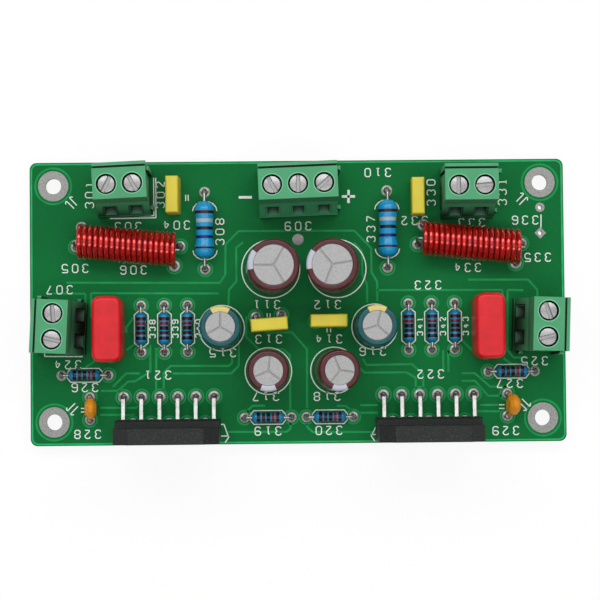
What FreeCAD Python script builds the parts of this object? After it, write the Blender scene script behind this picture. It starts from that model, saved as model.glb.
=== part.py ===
import FreeCAD, Part
import math
import os

Vector = FreeCAD.Vector

# Lengths are in millimetres and angles in degrees. X runs along the board, Y points to the edge
# with the supply terminal and Z points up. The origin lies midway between the four mounting
# holes, on the board's underside. Left and right are as seen from above.

# Board. The places below are those on the layout, and they spread with a longer or wider board
board_length = 105.6
board_width = 55.9
board_thickness = 1.6
board_corner_radius = 1.4
mount_inset = 4.65
mount_hole_diameter = 3.2
link_hole_diameter = 0.95
link_hole_pitch = 5.08
link_x = 48.14
link_y = 15.78
layout_end_x = 52.8
layout_side_y = 27.95

# Drilled lead holes and soldered joints
hole_clearance = 0.12
pad_margin = 0.5
joint_height = 1.5

# Small round forms that repeat get this many flats each, to keep the facets few
hole_flat_count = 4
joint_flat_count = 4
lead_flat_count = 4
coil_wire_flat_count = 5
thread_flat_count = 6
screw_well_flat_count = 16
resistor_flat_count = 8
can_flat_count = 20
disc_flat_count = 14
foot_flat_count = 6

# Screw terminals: one cell per wire, measured from the screw's axis and from the board's top
cell_pitch = 5.0
block_end_wall = 0.15
block_height = 13.0
block_back = 4.2
block_front = 5.5
top_plate_back = 3.1
top_plate_front = 2.85
brow_reach = 3.2
brow_height = 7.2
lip_reach = 5.3
lip_height = 2.4
rail_width = 0.65
rail_drop = 0.4
rail_groove_depth = 1.2
key_height = 12.2
key_low_height = 3.6
key_depth = 0.6
key_root_width = 0.5
key_tip_width = 0.9
key_back_offset = 2.7
key_front_offset = 4.1
key_clearance = 0.1
screw_well_diameter = 3.95
screw_well_depth = 2.0
neck_clearance = 0.2
entry_width = 2.2
entry_height = 2.9
entry_sill = 2.7
entry_flare = 0.35

# Clamping screw and the cage that it lifts
screw_head_diameter = 3.35
screw_head_height = 1.55
screw_head_seat = 0.05
screw_slot_width = 0.7
screw_slot_depth = 0.8
screw_thread_diameter = 2.6
thread_clearance = 0.05
cage_width = 3.8
cage_depth = 3.4
cage_wall = 0.6
cage_floor = 0.8
cage_roof = 0.9
cage_inner_height = 4.45
cage_clearance = 0.1
cage_rest_gap = 0.05
cage_top_gap = 0.2
cage_travel = 2.5
chamber_floor = 1.6

# Fixed contact plate, bent down into the pin
contact_thickness = 0.7
contact_width = 2.4
contact_reach = 1.6
contact_leg_offset = 2.5
pin_width = 0.9
contact_clearance = 0.1

# Where each terminal stands (its middle screw line), and how far it is turned
supply_cells = 3
signal_cells = 2
supply_x = 0.1
supply_y = 22.27
supply_turn = 2.0
left_output_x = -34.19
left_output_y = 22.55
left_output_turn = 2.5
right_output_x = 33.48
right_output_y = 21.73
left_input_x = -47.15
left_input_y = -4.72
left_input_turn = -2.8
right_input_x = 47.79
right_input_y = -5.08
right_input_turn = -2.1

# Amplifier chips, standing on bent leads with their backs to the heatsink side
chip_width = 20.0
chip_thickness = 4.5
chip_body_height = 10.4
chip_tab_height = 7.6
chip_tab_thickness = 3.1
chip_tab_chamfer = 2.9
chip_hole_diameter = 3.8
chip_hole_drop = 3.6
chip_standoff = 3.0
chip_draft = 0.35
chip_back_inset = 0.65
chip_lead_pitch = 1.778
chip_lead_count = 11
chip_lead_width = 0.8
chip_lead_thickness = 0.5
chip_lead_plane = 2.7
chip_lead_dip = 0.9
chip_front_row = 8.8
chip_rear_row = 3.5
chip_row_x = 25.6
left_chip_shift = 0.3
right_chip_shift = -0.7

# Axial resistors, dog-bone bodies with wire ends bent down
resistor_span = 9.2
resistor_body_length = 6.3
resistor_bulge_diameter = 2.35
resistor_waist_diameter = 1.95
resistor_lead_diameter = 0.55
resistor_rest_gap = 0.15
column_pitch = 4.57
column_start_x = 21.8
column_y = -5.05
input_resistor_x = 42.07
input_resistor_y = -14.1
centre_resistor_x = 6.1
centre_resistor_y = -22.73
damping_span = 15.24
damping_body_length = 11.3
damping_bulge_diameter = 4.2
damping_waist_diameter = 3.6
damping_lead_diameter = 0.7
damping_rest_gap = 0.4
left_damping_x = -18.25
right_damping_x = 17.8
damping_y = 14.26

# Output coils, wound round a resistor
coil_wire_diameter = 1.02
coil_outer_diameter = 6.9
coil_pitch = 1.08
coil_turn_count = 17.5
coil_step_count = 8
coil_slant_angle = -5.6
coil_rest_gap = 0.05
left_coil_x = -33.45
right_coil_x = 34.05
coil_y = 11.2
core_span = 20.6
core_body_length = 11.0
core_bulge_diameter = 4.1
core_waist_diameter = 3.7
core_overhang = 0.8

# Electrolytic capacitors
crimp_height = 2.2
crimp_depth = 0.45
crimp_width = 1.1
shoulder = 0.5
capacitor_lead_diameter = 0.6
reservoir_diameter = 10.0
reservoir_height = 16.0
reservoir_lead_pitch = 5.0
reservoir_gap = 2.5
reservoir_shift = 1.0
reservoir_y = 6.5
left_reservoir_lean_angle = 1.8
right_reservoir_lean_angle = 3.0
mute_diameter = 8.0
mute_height = 12.0
mute_lead_pitch = 3.5
left_mute_x = -5.95
right_mute_x = 7.0
mute_y = -13.6
right_mute_lean_angle = 3.6
feedback_diameter = 8.0
feedback_height = 11.5
feedback_x = 15.1
feedback_y = -5.05

# Red film capacitors
film_length = 12.7
film_width = 5.7
film_height = 11.0
film_corner = 1.5
film_edge = 0.6
film_lead_pitch = 10.0
film_x = 37.0
film_y = -5.25

# Yellow box capacitors
bypass_length = 7.2
bypass_width = 2.5
bypass_height = 6.5
bypass_chamfer = 0.25
bypass_lead_pitch = 5.08
left_bypass_x = -5.7
left_bypass_y = -4.55
left_bypass_turn = 4.0
left_bypass_lift = 1.5
left_bypass_hole_shift = 1.85
lead_stub = 0.35
lead_knee_height = 0.4
right_bypass_x = 5.95
right_bypass_y = -3.9
left_output_bypass_x = -24.15
left_output_bypass_y = 21.0
left_output_bypass_lean_angle = 3.0
right_output_bypass_x = 23.75
right_output_bypass_y = 20.35
right_output_bypass_lean_angle = 1.5

# Ceramic disc capacitors
disc_diameter = 4.2
disc_thickness = 2.3
disc_rim_thickness = 0.8
disc_foot_height = 1.4
disc_foot_diameter = 1.1
disc_lead_pitch = 5.08
disc_x = 41.15
disc_y = -20.65
left_disc_lean_angle = 7.0
right_disc_lean_angle = 16.0

along = board_length / (2 * layout_end_x)
across = board_width / (2 * layout_side_y)
chip_back_y = chip_back_inset - board_width / 2
reservoir_pitch = reservoir_diameter + reservoir_gap

nodes = {}
lead_holes = []
contact_pins = []
resistor_leads = []
capacitor_leads = []


def keep(name, solids):
    """Stores one sub-part, as a single solid or as a group of separate ones."""
    nodes[name] = solids[0] if len(solids) == 1 else Part.makeCompound(solids)


def block(x0, x1, y0, y1, z0, z1):
    """A box between two planes on each axis."""
    return Part.makeBox(x1 - x0, y1 - y0, z1 - z0, Vector(x0, y0, z0))


def face_of(points):
    return Part.Face(Part.makePolygon(points + [points[0]]))


def ring(radius, height, flats):
    step = 2 * math.pi / flats
    return [
        Vector(radius * math.cos((k + 0.5) * step), radius * math.sin((k + 0.5) * step), height)
        for k in range(flats)
    ]


def skin(rings):
    """A closed solid through rings of points, with flat sides and ends."""
    flats = len(rings[0])
    faces = [face_of(rings[0]), face_of(rings[-1])]
    for low, high in zip(rings, rings[1:]):
        for k in range(flats):
            n = (k + 1) % flats
            faces.append(face_of([low[k], low[n], high[n], high[k]]))
    solid = Part.Solid(Part.Shell(faces))
    if solid.Volume < 0:
        solid.reverse()
    return solid


def turned(outline, flats):
    """A solid on the Z axis through (radius, height) points, its round sides made of flats."""
    return skin([ring(r, z, flats) for r, z in outline])


def post(diameter, z0, z1, flats):
    """A round bar, its corners on the diameter."""
    return turned([(diameter / 2, z0), (diameter / 2, z1)], flats)


def socket(diameter, z0, z1, flats):
    """The tool that cuts a round hole, its flats on the diameter."""
    return post(diameter / math.cos(math.pi / flats), z0, z1, flats)


def rod(path, width, depth=None, flats=lead_flat_count):
    """A rod along straight runs, mitred at each bend. Four flats give a width by depth strip."""
    runs = [(b - a).normalize() for a, b in zip(path, path[1:])]
    across = runs[0].cross(Vector(1, 0, 0))
    if across.Length < 0.01:
        across = runs[0].cross(Vector(0, 0, 1))
    across.normalize()
    side = runs[0].cross(across)
    depth = width if depth is None else depth
    rings = [[
        path[0] + side * (p.x * width / 2) + across * (p.y * depth / 2)
        for p in ring(math.sqrt(2) if flats == 4 else 1, 0, flats)
    ]]
    for k, run in enumerate(runs):
        mitre = run + runs[k + 1] if k + 1 < len(runs) else run
        rings.append([
            p + run * ((path[k + 1] - p).dot(mitre) / run.dot(mitre)) for p in rings[-1]
        ])
    return skin(rings)


def placed(shape, x=0.0, y=0.0, z=0.0, turn=0.0):
    moved = shape.copy()
    moved.rotate(Vector(), Vector(0, 0, 1), turn)
    moved.translate(Vector(x, y, z))
    return moved


def spot(x, y, z, base_x=0.0, base_y=0.0, turn=0.0):
    """Where a point of a piece lies once the piece is turned and set down."""
    c = math.cos(math.radians(turn))
    s = math.sin(math.radians(turn))
    return Vector(base_x + c * x - s * y, base_y + s * x + c * y, z)


def drill(point, lead_size):
    """Notes a lead's hole and soldered joint, and returns the lead's end under the board."""
    lead_holes.append((point.x, point.y, lead_size))
    return Vector(point.x, point.y, 0)


def leaned(shape, angle, toward, half_base):
    """The piece tipped about its foot towards a heading, resting on the edge of its base."""
    tipped = shape.copy()
    heading = math.radians(toward)
    hinge = Vector(-math.sin(heading), math.cos(heading), 0)
    tipped.rotate(Vector(), hinge, angle)
    tipped.translate(Vector(0, 0, half_base * math.sin(math.radians(angle))))
    return tipped


def radial_leads(x, y, pitch, turn, half_base=0.0, lean=0.0, toward=90.0):
    """A pair of straight leads from the underside of a piece that may lean, through the board."""
    width = capacitor_lead_diameter
    for side in (-1, 1):
        reach = side * pitch / 2 * math.cos(math.radians(toward))
        rise = (half_base - reach - width / 2) * math.sin(math.radians(lean))
        start = spot(side * pitch / 2, 0, board_thickness + rise, x, y, turn)
        capacitor_leads.append(rod([start, drill(start, width)], width))


# The blocks' local X runs along the row of screws, and the wires come in from local -Y.

well_bottom = block_height - screw_well_depth
contact_bottom = entry_sill + entry_height
cage_bottom = chamber_floor + cage_rest_gap
cage_height = cage_floor + cage_inner_height + cage_roof
chamber_top = cage_bottom + cage_height + cage_travel + cage_top_gap


def block_body(cells):
    """The moulded outline of a terminal, with its keys and key slots but no chambers."""
    outline = [
        (block_back, 0),
        (block_back, block_height - rail_drop),
        (block_back - rail_width, block_height - rail_drop),
        (block_back - rail_width, block_height - rail_groove_depth),
        (top_plate_back, block_height - rail_groove_depth),
        (top_plate_back, block_height),
        (-top_plate_front, block_height),
        (-brow_reach, brow_height),
        (-lip_reach, lip_height),
        (-block_front, lip_height - (block_front - lip_reach)),
        (-block_front, 0),
    ]
    length = cells * cell_pitch + 2 * block_end_wall
    side_view = face_of([Vector(-length / 2, y, z) for y, z in outline])
    body = side_view.extrude(Vector(length, 0, 0))
    keys = ((key_back_offset, key_height), (-key_front_offset, key_low_height))
    for offset, height in keys:
        body = body.cut(key(-length / 2, offset, height, key_clearance))
        body = body.fuse(key(length / 2, offset, height, 0))
    return body.removeSplitter()


def key(x, y, height, clearance):
    """A dovetail key that starts narrow at x and widens along +X, or the slot for one."""
    root = key_root_width / 2 + clearance
    tip = key_tip_width / 2 + clearance
    depth = key_depth + clearance
    plan = [
        Vector(x, y - root, 0),
        Vector(x + depth, y - tip, 0),
        Vector(x + depth, y + tip, 0),
        Vector(x, y + root, 0),
    ]
    return face_of(plan).extrude(Vector(0, 0, height + clearance))


def cell_cavity():
    """Everything that is open in one cell: screw well, neck, cage chamber, entry and contact."""
    well = socket(screw_well_diameter, well_bottom, block_height, screw_well_flat_count)
    neck = socket(screw_thread_diameter + 2 * neck_clearance, chamber_top, well_bottom,
                  thread_flat_count)
    half_width = cage_width / 2 + cage_clearance
    half_depth = cage_depth / 2 + cage_clearance
    chamber = block(-half_width, half_width, -half_depth, half_depth, chamber_floor, chamber_top)
    half_entry = entry_width / 2
    entry = block(-half_entry, half_entry, -block_front, 0, entry_sill, contact_bottom)
    flare = entry_flare
    mouth_face = [
        Vector(-half_entry - flare, -lip_reach, entry_sill - flare),
        Vector(half_entry + flare, -lip_reach, entry_sill - flare),
        Vector(half_entry + flare, -brow_reach, contact_bottom + flare),
        Vector(-half_entry - flare, -brow_reach, contact_bottom + flare),
    ]
    mouth_out = face_of(mouth_face).extrude(Vector(0, -flare, flare))
    half_leg = contact_width / 2 + contact_clearance
    leg_back = contact_leg_offset + contact_thickness / 2 + contact_clearance
    leg_room = block(-half_leg, half_leg, 0, leg_back, 0,
                     contact_bottom + contact_thickness + contact_clearance)
    return well.multiFuse([neck, chamber, entry, mouth_out, leg_room])


def clamping_screw(slot_angle):
    """A flat-headed screw that stays at one height and lifts the cage as it turns."""
    head_bottom = well_bottom + screw_head_seat
    head_top = head_bottom + screw_head_height
    head = Part.makeCylinder(screw_head_diameter / 2, screw_head_height,
                             Vector(0, 0, head_bottom))
    tip = contact_bottom + contact_thickness + screw_head_seat
    thread = post(screw_thread_diameter, tip, head_bottom, thread_flat_count)
    half_slot = screw_slot_width / 2
    slot = block(-screw_head_diameter, screw_head_diameter, -half_slot, half_slot,
                 head_top - screw_slot_depth, head_top)
    return placed(head.fuse(thread).cut(slot), turn=slot_angle)


def clamp_cage():
    """A folded frame with the screw through its roof and the wire on its floor."""
    half_width = cage_width / 2
    half_depth = cage_depth / 2
    outer = block(-half_width, half_width, -half_depth, half_depth, cage_bottom,
                  cage_bottom + cage_height)
    window = block(-half_width + cage_wall, half_width - cage_wall, -half_depth, half_depth,
                   cage_bottom + cage_floor, cage_bottom + cage_floor + cage_inner_height)
    bore = socket(screw_thread_diameter + 2 * thread_clearance,
                  cage_bottom + cage_floor, cage_bottom + cage_height, thread_flat_count)
    return outer.cut(window).cut(bore)


def contact_pin():
    """The fixed plate that the wire is pressed against, its leg and the pin through the board."""
    low = contact_bottom
    high = contact_bottom + contact_thickness
    half_width = contact_width / 2
    leg_front = contact_leg_offset - contact_thickness / 2
    leg_back = contact_leg_offset + contact_thickness / 2
    plate = block(-half_width, half_width, -contact_reach, leg_back, low, high)
    leg = block(-half_width, half_width, leg_front, leg_back, contact_clearance, low)
    half_pin = pin_width / 2
    pin = block(-half_pin, half_pin, leg_front, leg_back, -board_thickness, contact_clearance)
    return plate.multiFuse([leg, pin]).removeSplitter()


def terminal(name, cells, x, y, turn, slot_angles):
    """A whole terminal: housing, contacts, and a screw and cage in each cell."""
    x = x * along
    y = y * across
    body = block_body(cells)
    cavity = cell_cavity()
    for index in range(cells):
        row_x = (index - (cells - 1) / 2) * cell_pitch
        body = body.cut(placed(cavity, row_x))
        place = spot(row_x, 0, board_thickness, x, y, turn)
        screw = clamping_screw(slot_angles[index])
        keep(f"{name}_screw_{index + 1}", [placed(screw, place.x, place.y, place.z)])
        keep(f"{name}_clamp_{index + 1}",
             [placed(clamp_cage(), place.x, place.y, place.z, turn)])
        contact_pins.append(placed(contact_pin(), place.x, place.y, place.z, turn))
        pin = spot(row_x, contact_leg_offset, 0, x, y, turn)
        drill(pin, math.hypot(pin_width, contact_thickness))
    keep(f"{name}_terminal_housing", [placed(body, x, y, board_thickness, turn)])


def chip_body():
    """The moulded package, its back on local Y = 0 and its foot at local Z = 0."""
    top = chip_body_height + chip_tab_height
    side_view = [
        Vector(0, 0, 0),
        Vector(0, chip_thickness - chip_draft, 0),
        Vector(0, chip_thickness, chip_draft * 2),
        Vector(0, chip_thickness, chip_body_height - chip_draft * 2),
        Vector(0, chip_thickness - chip_draft, chip_body_height),
        Vector(0, chip_tab_thickness, chip_body_height),
        Vector(0, chip_tab_thickness, top),
        Vector(0, 0, top),
    ]
    half = chip_width / 2
    front_view = [
        Vector(-half, 0, 0),
        Vector(half, 0, 0),
        Vector(half, 0, top - chip_tab_chamfer),
        Vector(half - chip_tab_chamfer, 0, top),
        Vector(-half + chip_tab_chamfer, 0, top),
        Vector(-half, 0, top - chip_tab_chamfer),
    ]
    width = face_of(side_view).extrude(Vector(chip_width, 0, 0))
    width.translate(Vector(-half, 0, 0))
    body = width.common(face_of(front_view).extrude(Vector(0, chip_thickness, 0)))
    hole = Part.makeCylinder(chip_hole_diameter / 2, chip_thickness,
                             Vector(0, 0, top - chip_hole_drop), Vector(0, 1, 0))
    return body.cut(hole)


def chip(side_name, row_x, shift):
    """One amplifier chip and its two staggered rows of leads."""
    row_x = row_x * along
    foot = board_thickness + chip_standoff
    body = placed(chip_body(), row_x + shift, chip_back_y, foot)
    keep(f"{side_name}_amplifier_chip", [body])
    lead_y = chip_back_y + chip_lead_plane
    leads = []
    for index in range(chip_lead_count):
        x = row_x + (index - (chip_lead_count - 1) / 2) * chip_lead_pitch
        row_y = chip_back_y + (chip_front_row if index % 2 == 0 else chip_rear_row)
        heading = 1 if row_y > lead_y else -1
        bend = foot - chip_lead_dip
        knee = min(abs(row_y - lead_y), chip_lead_dip) * heading
        end = drill(Vector(x, row_y, 0), math.hypot(chip_lead_width, chip_lead_thickness))
        path = [
            Vector(x, lead_y, foot),
            Vector(x, lead_y, bend),
            Vector(x, row_y - knee / 2, bend - chip_lead_dip / 2),
            Vector(x, row_y, bend - chip_lead_dip),
            end,
        ]
        leads.append(rod(path, chip_lead_width, chip_lead_thickness))
    keep(f"{side_name}_chip_leads", leads)


def resistor_body(length, bulge, waist):
    """A dog-bone body along local X, its middle at the origin."""
    half = length / 2
    cap = bulge / 2
    outline = [
        (bulge * 0.2, -half),
        (bulge / 2, -half + cap * 0.7),
        (waist / 2, -half + cap * 1.9),
        (waist / 2, half - cap * 1.9),
        (bulge / 2, half - cap * 0.7),
        (bulge * 0.2, half),
    ]
    body = turned(outline, resistor_flat_count)
    body.rotate(Vector(), Vector(0, 1, 0), 90)
    return body


def axial_leads(x, y, span, body_length, diameter, height, turn):
    """Wire ends that leave the body straight and bend down into the board."""
    leads = []
    for side in (-1, 1):
        start = spot(side * body_length / 2, 0, height, x, y, turn)
        corner = spot(side * span / 2, 0, height, x, y, turn)
        leads.append(rod([start, corner, drill(corner, diameter)], diameter))
    return leads


def small_resistor(x, y, turn):
    x = x * along
    y = y * across
    height = board_thickness + resistor_rest_gap + resistor_bulge_diameter / 2
    body = resistor_body(resistor_body_length, resistor_bulge_diameter, resistor_waist_diameter)
    resistor_leads.extend(axial_leads(
        x, y, resistor_span, resistor_body_length, resistor_lead_diameter, height, turn))
    return placed(body, x, y, height, turn)


def channel_resistors(side_name, side):
    """The five small resistors of one channel: three columns, one at the input, one by the chip."""
    bodies = [
        small_resistor(side * (column_start_x + k * column_pitch), column_y, 90)
        for k in range(3)
    ]
    bodies.append(small_resistor(side * input_resistor_x, input_resistor_y, 0))
    bodies.append(small_resistor(side * centre_resistor_x, centre_resistor_y, 0))
    keep(f"{side_name}_channel_resistors", bodies)


def damping_resistor(side_name, x):
    x = x * along
    y = damping_y * across
    height = board_thickness + damping_rest_gap + damping_bulge_diameter / 2
    body = resistor_body(damping_body_length, damping_bulge_diameter, damping_waist_diameter)
    keep(f"{side_name}_damping_resistor", [placed(body, x, y, height, 90)])
    resistor_leads.extend(axial_leads(
        x, y, damping_span, damping_body_length, damping_lead_diameter, height, 90))


def coil(side_name, x):
    """A close-wound coil lying on the board, and the resistor that runs through it."""
    x = x * along
    y = coil_y * across
    radius = (coil_outer_diameter - coil_wire_diameter) / 2
    height = board_thickness + coil_rest_gap + coil_outer_diameter / 2
    length = coil_turn_count * coil_pitch
    steps = int(coil_turn_count * coil_step_count)
    path = []
    for step in range(steps + 1):
        angle = 2 * math.pi * step / coil_step_count
        path.append(spot(
            length * (step / steps - 0.5),
            radius * math.cos(angle),
            height + radius * math.sin(angle),
            x, y, coil_slant_angle))
    path.insert(0, drill(path[0], coil_wire_diameter))
    path.append(drill(path[-1], coil_wire_diameter))
    keep(f"{side_name}_output_coil", [rod(path, coil_wire_diameter, flats=coil_wire_flat_count)])

    body = resistor_body(core_body_length, core_bulge_diameter, core_waist_diameter)
    keep(f"{side_name}_coil_resistor", [placed(body, x, y, height, coil_slant_angle)])
    for side in (-1, 1):
        start = spot(side * core_body_length / 2, 0, height, x, y, coil_slant_angle)
        corner = spot(side * (length / 2 + core_overhang + coil_wire_diameter / 2), 0, height,
                      x, y, coil_slant_angle)
        hole = Vector(x + side * core_span / 2, y, board_thickness + damping_lead_diameter)
        resistor_leads.append(rod(
            [start, corner, hole, drill(hole, damping_lead_diameter)], damping_lead_diameter))


def can(diameter, height):
    """A sealed aluminium can in its sleeve, with the crimp near its foot."""
    radius = diameter / 2
    outline = [
        (radius, 0),
        (radius, crimp_height - crimp_width / 2),
        (radius - crimp_depth, crimp_height),
        (radius, crimp_height + crimp_width / 2),
        (radius, height - shoulder),
        (radius - shoulder, height),
    ]
    return turned(outline, can_flat_count)


def electrolytic(name, x, y, diameter, height, pitch, lean=0.0, toward=0.0):
    y = y * across
    body = leaned(can(diameter, height), lean, toward, diameter / 2)
    keep(name, [placed(body, x, y, board_thickness)])
    radial_leads(x, y, pitch, 0, diameter / 2, lean, toward)


def film_capacitor(side_name, x):
    """A dipped film capacitor with round corners and softened edges."""
    x = x * along
    y = film_y * across
    half_length = film_length / 2
    half_width = film_width / 2
    body = block(-half_width, half_width, -half_length, half_length, 0, film_height)
    upright = [e for e in body.Edges if abs(e.tangentAt(e.FirstParameter).z) > 0.9]
    body = body.makeFillet(film_corner, upright)
    rim = [e for e in body.Edges if e.BoundBox.ZMin > film_height - film_edge]
    body = body.makeChamfer(film_edge, rim)
    keep(f"{side_name}_input_capacitor", [placed(body, x, y, board_thickness)])
    radial_leads(x, y, film_lead_pitch, 90)


def bent_leads(x, y, pitch, turn, lift, hole_shift):
    """A pair of leads from the underside of a lifted piece, bent across to holes beside it."""
    width = capacitor_lead_diameter
    for side in (-1, 1):
        reach = side * pitch / 2
        start = spot(reach, 0, board_thickness + lift, x, y, turn)
        elbow = spot(reach, 0, board_thickness + lift - lead_stub, x, y, turn)
        knee = spot(reach, hole_shift, board_thickness + lead_knee_height, x, y, turn)
        capacitor_leads.append(rod([start, elbow, knee, drill(knee, width)], width))


def bypass_capacitor(name, x, y, turn, lean=0.0, toward=90.0, lift=0.0, hole_shift=0.0):
    """A small moulded box capacitor that leans, or stands beside its holes, as in the photo."""
    x = x * along
    y = y * across
    half_length = bypass_length / 2
    half_width = bypass_width / 2
    body = block(-half_length, half_length, -half_width, half_width, 0, bypass_height)
    upper = [e for e in body.Edges if e.BoundBox.ZMin > bypass_height - bypass_chamfer]
    body = body.makeChamfer(bypass_chamfer, upper)
    body = leaned(body, lean, toward, half_width)
    keep(name, [placed(body, x, y, board_thickness + lift, turn)])
    if lift:
        bent_leads(x, y, bypass_lead_pitch, turn, lift, hole_shift)
    else:
        radial_leads(x, y, bypass_lead_pitch, turn, half_width, lean, toward)


def ceramic_capacitor(side_name, x, lean):
    """A dipped ceramic disc with a coated foot round each lead."""
    x = x * along
    y = disc_y * across
    radius = disc_diameter / 2
    rim = disc_rim_thickness / 2
    half = disc_thickness / 2
    disc = turned([
        (radius * 0.6, -half),
        (radius, -rim),
        (radius, rim),
        (radius * 0.6, half),
    ], disc_flat_count)
    disc.rotate(Vector(), Vector(0, 1, 0), 90)
    disc.translate(Vector(0, 0, disc_foot_height + radius * 0.8))
    inset = disc_foot_diameter * 0.3
    base = disc_lead_pitch / 2 - inset
    shoulder_reach = radius * 0.7
    feet = []
    for side in (-1, 1):
        rings = []
        for half_width, height, reach in (
            (inset, 0, base),
            (disc_foot_diameter / 2, disc_foot_height, (base + shoulder_reach) / 2),
            (disc_foot_diameter * 0.4, disc_foot_height + radius * 0.8, shoulder_reach),
        ):
            away = Vector(0, side * reach, 0)
            rings.append([p + away for p in ring(half_width, height, foot_flat_count)])
        feet.append(skin(rings))
    body = disc.multiFuse(feet)
    body = leaned(body, lean, 0, disc_foot_diameter / 2)
    keep(f"{side_name}_ceramic_capacitor", [placed(body, x, y, board_thickness)])
    radial_leads(x, y, 2 * base, 90)


def circuit_board():
    """The bare board with every hole drilled."""
    half_length = board_length / 2
    half_width = board_width / 2
    blank = block(-half_length, half_length, -half_width, half_width, 0, board_thickness)
    corners = [e for e in blank.Edges if abs(e.tangentAt(e.FirstParameter).z) > 0.9]
    blank = blank.makeFillet(board_corner_radius, corners)
    plan = min(blank.Faces, key=lambda face: face.CenterOfMass.z)
    outlines = [plan.OuterWire]
    for side in (-1, 1):
        for end in (-1, 1):
            outlines.append(round_outline(
                mount_hole_diameter, end * (half_length - mount_inset),
                side * (half_width - mount_inset)))
        outlines.append(round_outline(
            link_hole_diameter, link_x * along, link_y * across + side * link_hole_pitch / 2))
    for x, y, lead_size in lead_holes:
        radius = (lead_size / 2 + hole_clearance) / math.cos(math.pi / hole_flat_count)
        corners = [p + Vector(x, y, 0) for p in ring(radius, 0, hole_flat_count)]
        outlines.append(Part.makePolygon(corners + [corners[0]]))
    plate = Part.Face(outlines, "Part::FaceMakerBullseye")
    keep("circuit_board", [plate.extrude(Vector(0, 0, board_thickness))])


def round_outline(diameter, x, y):
    return Part.Wire(Part.makeCircle(diameter / 2, Vector(x, y, 0)))


def solder_joints():
    """A cone of solder round each clipped lead end, under the board."""
    joints = []
    for x, y, lead_size in lead_holes:
        foot = lead_size / 2 + hole_clearance + pad_margin
        cone = turned([(lead_size / 2, -joint_height), (foot, 0)], joint_flat_count)
        joints.append(placed(cone, x, y))
    keep("solder_joints", joints)


terminal("supply", supply_cells, supply_x, supply_y, supply_turn, (120, 90, 42))
terminal("left_output", signal_cells, left_output_x, left_output_y, left_output_turn, (64, 120))
terminal("right_output", signal_cells, right_output_x, right_output_y, 0, (90, 5))
terminal("left_input", signal_cells, left_input_x, left_input_y, 90 + left_input_turn, (-14, 94))
terminal("right_input", signal_cells, right_input_x, right_input_y, -90 + right_input_turn,
         (109, 14))
keep("terminal_contacts", contact_pins)

chip("left", -chip_row_x, left_chip_shift)
chip("right", chip_row_x, right_chip_shift)
coil("left", left_coil_x)
coil("right", right_coil_x)
damping_resistor("left", left_damping_x)
damping_resistor("right", right_damping_x)
channel_resistors("left", -1)
channel_resistors("right", 1)
keep("resistor_leads", resistor_leads)

electrolytic("left_reservoir_capacitor", reservoir_shift - reservoir_pitch / 2, reservoir_y,
             reservoir_diameter, reservoir_height, reservoir_lead_pitch,
             left_reservoir_lean_angle, 0)
electrolytic("right_reservoir_capacitor", reservoir_shift + reservoir_pitch / 2, reservoir_y,
             reservoir_diameter, reservoir_height, reservoir_lead_pitch,
             right_reservoir_lean_angle, 180)
electrolytic("left_mute_capacitor", left_mute_x * along, mute_y, mute_diameter, mute_height,
             mute_lead_pitch)
electrolytic("right_mute_capacitor", right_mute_x * along, mute_y, mute_diameter, mute_height,
             mute_lead_pitch, right_mute_lean_angle, 0)
electrolytic("left_feedback_capacitor", -feedback_x * along, feedback_y, feedback_diameter,
             feedback_height, mute_lead_pitch)
electrolytic("right_feedback_capacitor", feedback_x * along, feedback_y, feedback_diameter,
             feedback_height, mute_lead_pitch)
film_capacitor("left", -film_x)
film_capacitor("right", film_x)
bypass_capacitor("left_bypass_capacitor", left_bypass_x, left_bypass_y, left_bypass_turn,
                 lift=left_bypass_lift, hole_shift=left_bypass_hole_shift)
bypass_capacitor("right_bypass_capacitor", right_bypass_x, right_bypass_y, 0)
bypass_capacitor("left_output_bypass_capacitor", left_output_bypass_x, left_output_bypass_y,
                 90, left_output_bypass_lean_angle, 90)
bypass_capacitor("right_output_bypass_capacitor", right_output_bypass_x,
                 right_output_bypass_y, 90, right_output_bypass_lean_angle, 90)
ceramic_capacitor("left", -disc_x, left_disc_lean_angle)
ceramic_capacitor("right", disc_x, right_disc_lean_angle)
keep("capacitor_leads", capacitor_leads)

solder_joints()
circuit_board()

os.makedirs("parts", exist_ok=True)
for name, shape in nodes.items():
    shape.exportStep(f"parts/{name}.step")
print(len(nodes), "sub-parts,", len(lead_holes), "leads")
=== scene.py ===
import math

import bmesh
import bpy
from mathutils import Matrix, Vector


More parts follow.
